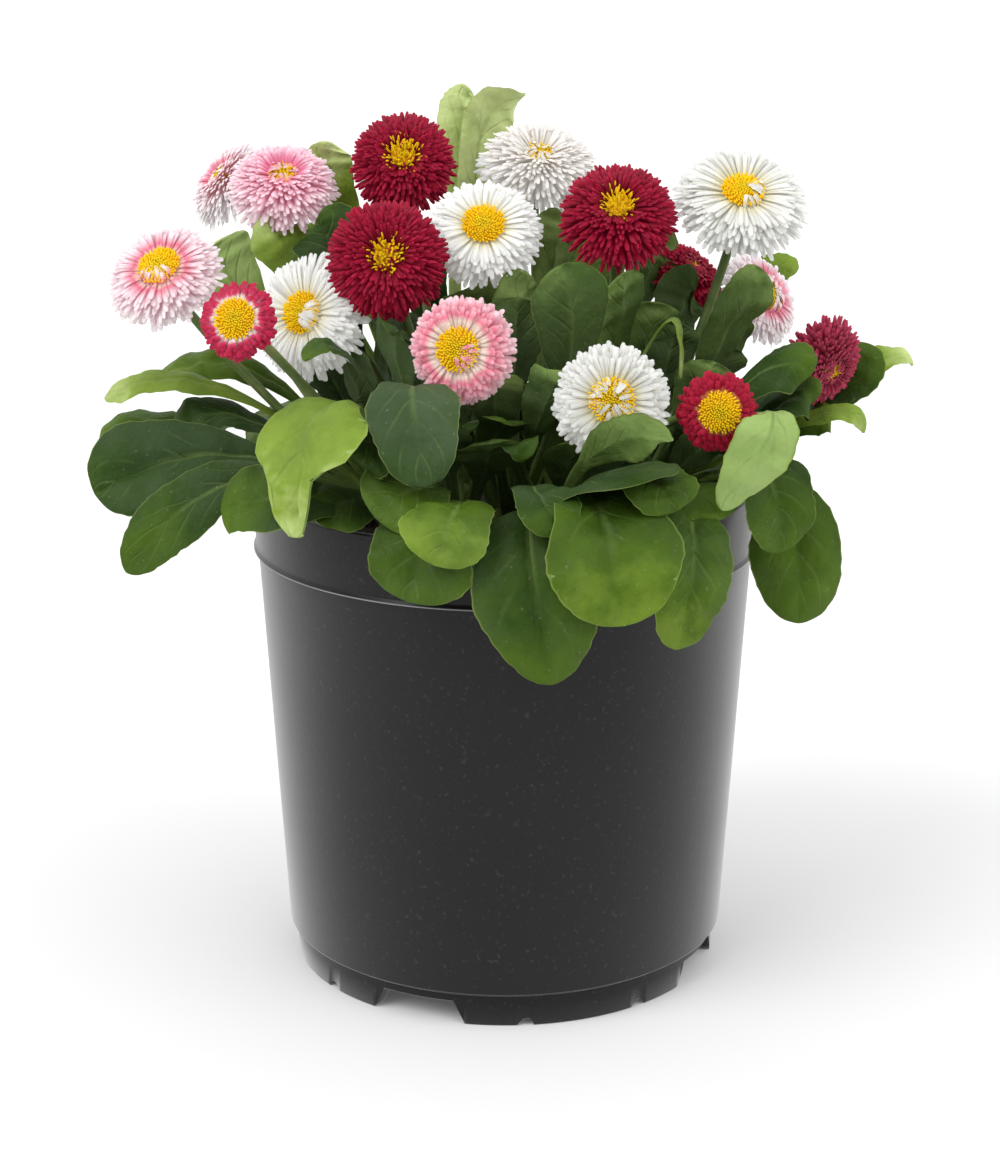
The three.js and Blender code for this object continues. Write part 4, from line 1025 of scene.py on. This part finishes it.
def petal_shapes(bloom, seed):
    """All petals of a head. Along a golden spiral from the outermost to the innermost, a petal
    lies on its slope and sags with the cube of the way along; a low core fills the middle; and
    short petals rise at the edge of the disc and bend in over it."""
    form = FORMS[bloom["form"]]
    count = form["petals"]
    quill = bloom.get("quill", form["quill"])
    order = np.arange(count)
    layer = order / (count - 1)
    knots = (0, 0.5, 1)
    s = PETAL_STEPS
    ragged = chance(seed + order) - 0.5
    reach = bloom["radius"] * np.interp(layer, knots, form["reach"]) * (1 + 0.13 * ragged)
    slope = np.interp(layer, knots, form["slope"]) + 7 * (chance(seed + 300 + order) - 0.5)
    root = np.interp(layer, knots, (3.4, 3.2, form["disc"] - 0.2))
    root_height = np.interp(layer, knots, (-0.9, -0.3, HEAD_FLOOR + form["height"] - 0.9))
    width = np.interp(layer, knots, form["width"])
    azimuth = GOLDEN_TURN * order + 6 * (chance(seed + 600 + order) - 0.5)
    tone = chance(seed + 900 + order)
    distance = root[:, None] + (reach - root)[:, None] * s
    slant = np.radians(slope)[:, None]
    height = root_height[:, None] + distance * np.sin(slant) - PETAL_SAG * reach[:, None] * s ** 3
    points, spine, c = straps(azimuth, distance * np.cos(slant), height, width, quill, seed)
    marks = (c, s[:, None], layer[:, None, None], tone[:, None, None])
    ends = [marked(spine[:, end], 0.0, s[end], layer, tone) for end in (0, -1)]
    shapes = [skins(marked(points, *marks), *ends)]

    top = HEAD_FLOOR + form["height"]
    turn = 360 * np.arange(36) / 36
    core = [around(r, turn, np.full(36, z)) for r, z in
            ((CUP_RADIUS - 0.6, HEAD_FLOOR), (CUP_RADIUS - 0.2, -0.6), (form["disc"] + 0.3, top - 0.4), (form["disc"], top))]
    core = marked(np.array(core), 0.0, 0.0, 0.5, 0.5)[None]
    shapes.append(skins(core, *[marked(np.array([[0, 0, z]]), 0.0, 0.0, 0.5, 0.5) for z in (HEAD_FLOOR, top)]))

    if "over" in bloom:
        middle, spread, extra = bloom["over"]
        order = np.arange(extra)
        azimuth = middle + spread * (2 * (order + chance(seed + 40 + order)) / extra - 1)
        edge = form["disc"] + 0.9
        inner = form["disc"] * (0.15 + 0.7 * chance(seed + 90 + order))[:, None]
        rise = (2.6 + 1.0 * chance(seed + 110 + order))[:, None]
        points, spine, c = straps(azimuth, edge + (inner - edge) * s ** 1.6, top - 0.8 + rise * (1 - (1 - s) ** 2),
                                  0.9 * form["width"][2], 0.5 * quill, seed + 5)
        tone = chance(seed + 50 + order)
        ends = [marked(spine[:, end], 0.0, s[end], 1.0, tone) for end in (0, -1)]
        shapes.append(skins(marked(points, c, s[:, None], 1.0, tone[:, None, None]), *ends))
    return [(placed(bloom, points), *faces) for points, *faces in shapes]


def floret_shapes(bloom, seed):
    """The disc: a low dome, and florets on it in a golden spiral, each a small blunt bullet that
    stands along the dome's normal."""
    form = FORMS[bloom["form"]]
    loose = bloom["form"] == "full"
    size = form["disc"] + (0.4 if loose else 0.1)
    foot = HEAD_FLOOR + form["height"] + 0.25
    turn = 360 * np.arange(28) / 28
    dome = [around(size * r, turn, np.full(28, foot + z)) for r, z in ((0.9, 0), (0.97, 0.5), (0.75, 1.05), (0.4, 1.35))]
    dome = marked(np.array(dome), 0.0, 0.0, 0.5, 0.3)[None]
    shapes = [skins(dome, *[marked(np.array([[0, 0, foot + z]]), 0.0, 0.0, 0.5, 0.3) for z in (0, 1.45)])]

    count = 110 if loose else 230
    order = np.arange(count)
    share = np.sqrt((order + 0.5 + 0.8 * chance(seed + 70 + order)) / (count + 1))
    azimuth = GOLDEN_TURN * order + 8 * (chance(seed + 330 + order) - 0.5)
    base = around(size * 0.98 * share, azimuth, foot + 0.35 + 1.05 * (1 - share ** 2))
    lean = around(0.75 * share ** 2, azimuth, 1.0)
    lean[:, :2] += (0.9 if loose else 0.12) * (np.stack([chance(seed + order), chance(seed + 200 + order)], -1) - 0.5)
    axis = unit(lean)
    length = (1.5 + 1.6 * chance(seed + 400 + order)) if loose else 0.55 + 0.5 * share + 0.25 * chance(seed + 400 + order)
    length = length * bloom.get("florets", 1)
    fat = (0.24 if loose else 0.27 * size / 4.6) * (0.85 + 0.3 * chance(seed + 600 + order))
    side = unit(np.cross(axis, (1, 0, 0)))
    other = np.cross(axis, side)
    spin = TAU * np.arange(5) / 5
    spokes = side[:, None] * np.cos(spin)[None, :, None] + other[:, None] * np.sin(spin)[None, :, None]
    levels = ((0.0, 0.8), (0.55, 1.0), (0.85, 0.85), (1.0, 0.45))
    rings = [base[:, None] + axis[:, None] * (length * up)[:, None, None] + spokes * (fat * wide)[:, None, None]
             for up, wide in levels]
    marks = (0.0, np.array([up for up, _ in levels])[None, :, None], share[:, None, None],
             chance(seed + 800 + order)[:, None, None])
    rings = marked(np.stack(rings, axis=1), *marks)
    tips = base + axis * (length * 0.95)[:, None]
    ends = [marked(base, 0.0, 0.0, share, 0.5), marked(tips, 0.0, 0.8, share, 0.3)]
    shapes.append(skins(rings, *ends))
    return [(placed(bloom, points), *faces) for points, *faces in shapes]


def make_blooms():
    stem, floret = stem_skin(), floret_skin()
    petals = {name: petal_skin(name, look) for name, look in LOOKS.items()}
    for index, bloom in enumerate(BLOOMS):
        label = f"bloom_{index + 1:02d}"
        seed = 3000 + 500 * index
        stalk = gather(stalk_shapes(bloom, seed) + cup_shapes(bloom, seed))
        settle(mesh_object(f"{label}_stem", stalk, stem), f"{label}_stalk")
        rays = gather(petal_shapes(bloom, seed))
        settle(mesh_object(f"{label}_petals", rays, petals[bloom["look"]]), f"{label}_rays")
        disc = gather(floret_shapes(bloom, seed))
        settle(mesh_object(f"{label}_florets", disc, floret), f"{label}_disc")


def make_floor():
    """A wide white floor, faintly lit from below as a light table is, so that it stays pale
    outside the pot's own soft shadow."""
    finish = Finish("white_floor", Roughness=0.9, Specular_IOR_Level=0.0,
                    Emission_Color=(1, 1, 1, 1), Emission_Strength=0.06)
    finish.paint((0.72, 0.72, 0.72, 1))
    half = 2.5
    mesh = bpy.data.meshes.new("floor")
    mesh.from_pydata([(-half, -half, 0), (half, -half, 0), (half, half, 0), (-half, half, 0)], [], [(0, 1, 2, 3)])
    mesh.materials.append(finish.material)
    floor = bpy.data.objects.new("floor", mesh)
    bpy.context.scene.collection.objects.link(floor)


def soft_sun(name, azimuth, elevation, spread, strength):
    """A broad soft light from an azimuth and an elevation, the same all over the studio."""
    lamp = bpy.data.lights.new(name, "SUN")
    lamp.energy = strength
    lamp.angle = math.radians(spread)
    made = bpy.data.objects.new(name, lamp)
    made.rotation_euler = (math.radians(90 - elevation), 0, math.radians(azimuth))
    bpy.context.scene.collection.objects.link(made)


def light_studio():
    """A white surround that is dimmer low in front of the pot, where the room is open, and pure
    white behind the object, with broad soft lights from the front left and the front right."""
    world = bpy.data.worlds.new("studio")
    bpy.context.scene.world = world
    world.use_nodes = True
    nodes, link = world.node_tree.nodes, world.node_tree.links.new
    background = nodes["Background"]
    background.inputs["Color"].default_value = (1, 1, 1, 1)
    direction = nodes.new("ShaderNodeTexCoord")
    split = nodes.new("ShaderNodeSeparateXYZ")
    link(direction.outputs["Generated"], split.inputs[0])
    front = nodes.new("ShaderNodeMapRange")
    front.interpolation_type = "SMOOTHSTEP"
    for socket, value in (("From Min", -0.95), ("From Max", 0.0), ("To Min", 0.34), ("To Max", 1.2)):
        front.inputs[socket].default_value = value
    link(split.outputs["Y"], front.inputs["Value"])
    seen = nodes.new("ShaderNodeLightPath")
    strength = nodes.new("ShaderNodeMath")
    strength.operation = "MAXIMUM"
    link(front.outputs[0], strength.inputs[0])
    link(seen.outputs["Is Camera Ray"], strength.inputs[1])
    link(strength.outputs[0], background.inputs["Strength"])
    soft_sun("left_light", -50, 45, 40, 1.55)
    soft_sun("right_light", 45, 40, 60, 0.95)
    bpy.context.scene.view_settings.view_transform = "Standard"


# The view: the camera stands back in front of the pot and looks down on it
VIEW_TARGET = (-1.2, 0, 94)
VIEW_DISTANCE = 600
VIEW_ELEVATION = 16
LENS = 77.8


def place_camera():
    camera = bpy.data.cameras.new("camera")
    camera.sensor_fit = "VERTICAL"
    camera.sensor_height = 36
    camera.lens = LENS
    made = bpy.data.objects.new("camera", camera)
    slope = math.radians(VIEW_ELEVATION)
    away = VIEW_DISTANCE * np.array([0, -math.cos(slope), math.sin(slope)])
    made.location = (np.array(VIEW_TARGET) + away) * MM
    made.rotation_euler = (math.pi / 2 - slope, 0, 0)
    bpy.context.scene.collection.objects.link(made)
    bpy.context.scene.camera = made


make_pot()
make_soil()
make_tufts()
make_blooms()
make_floor()
light_studio()
place_camera()
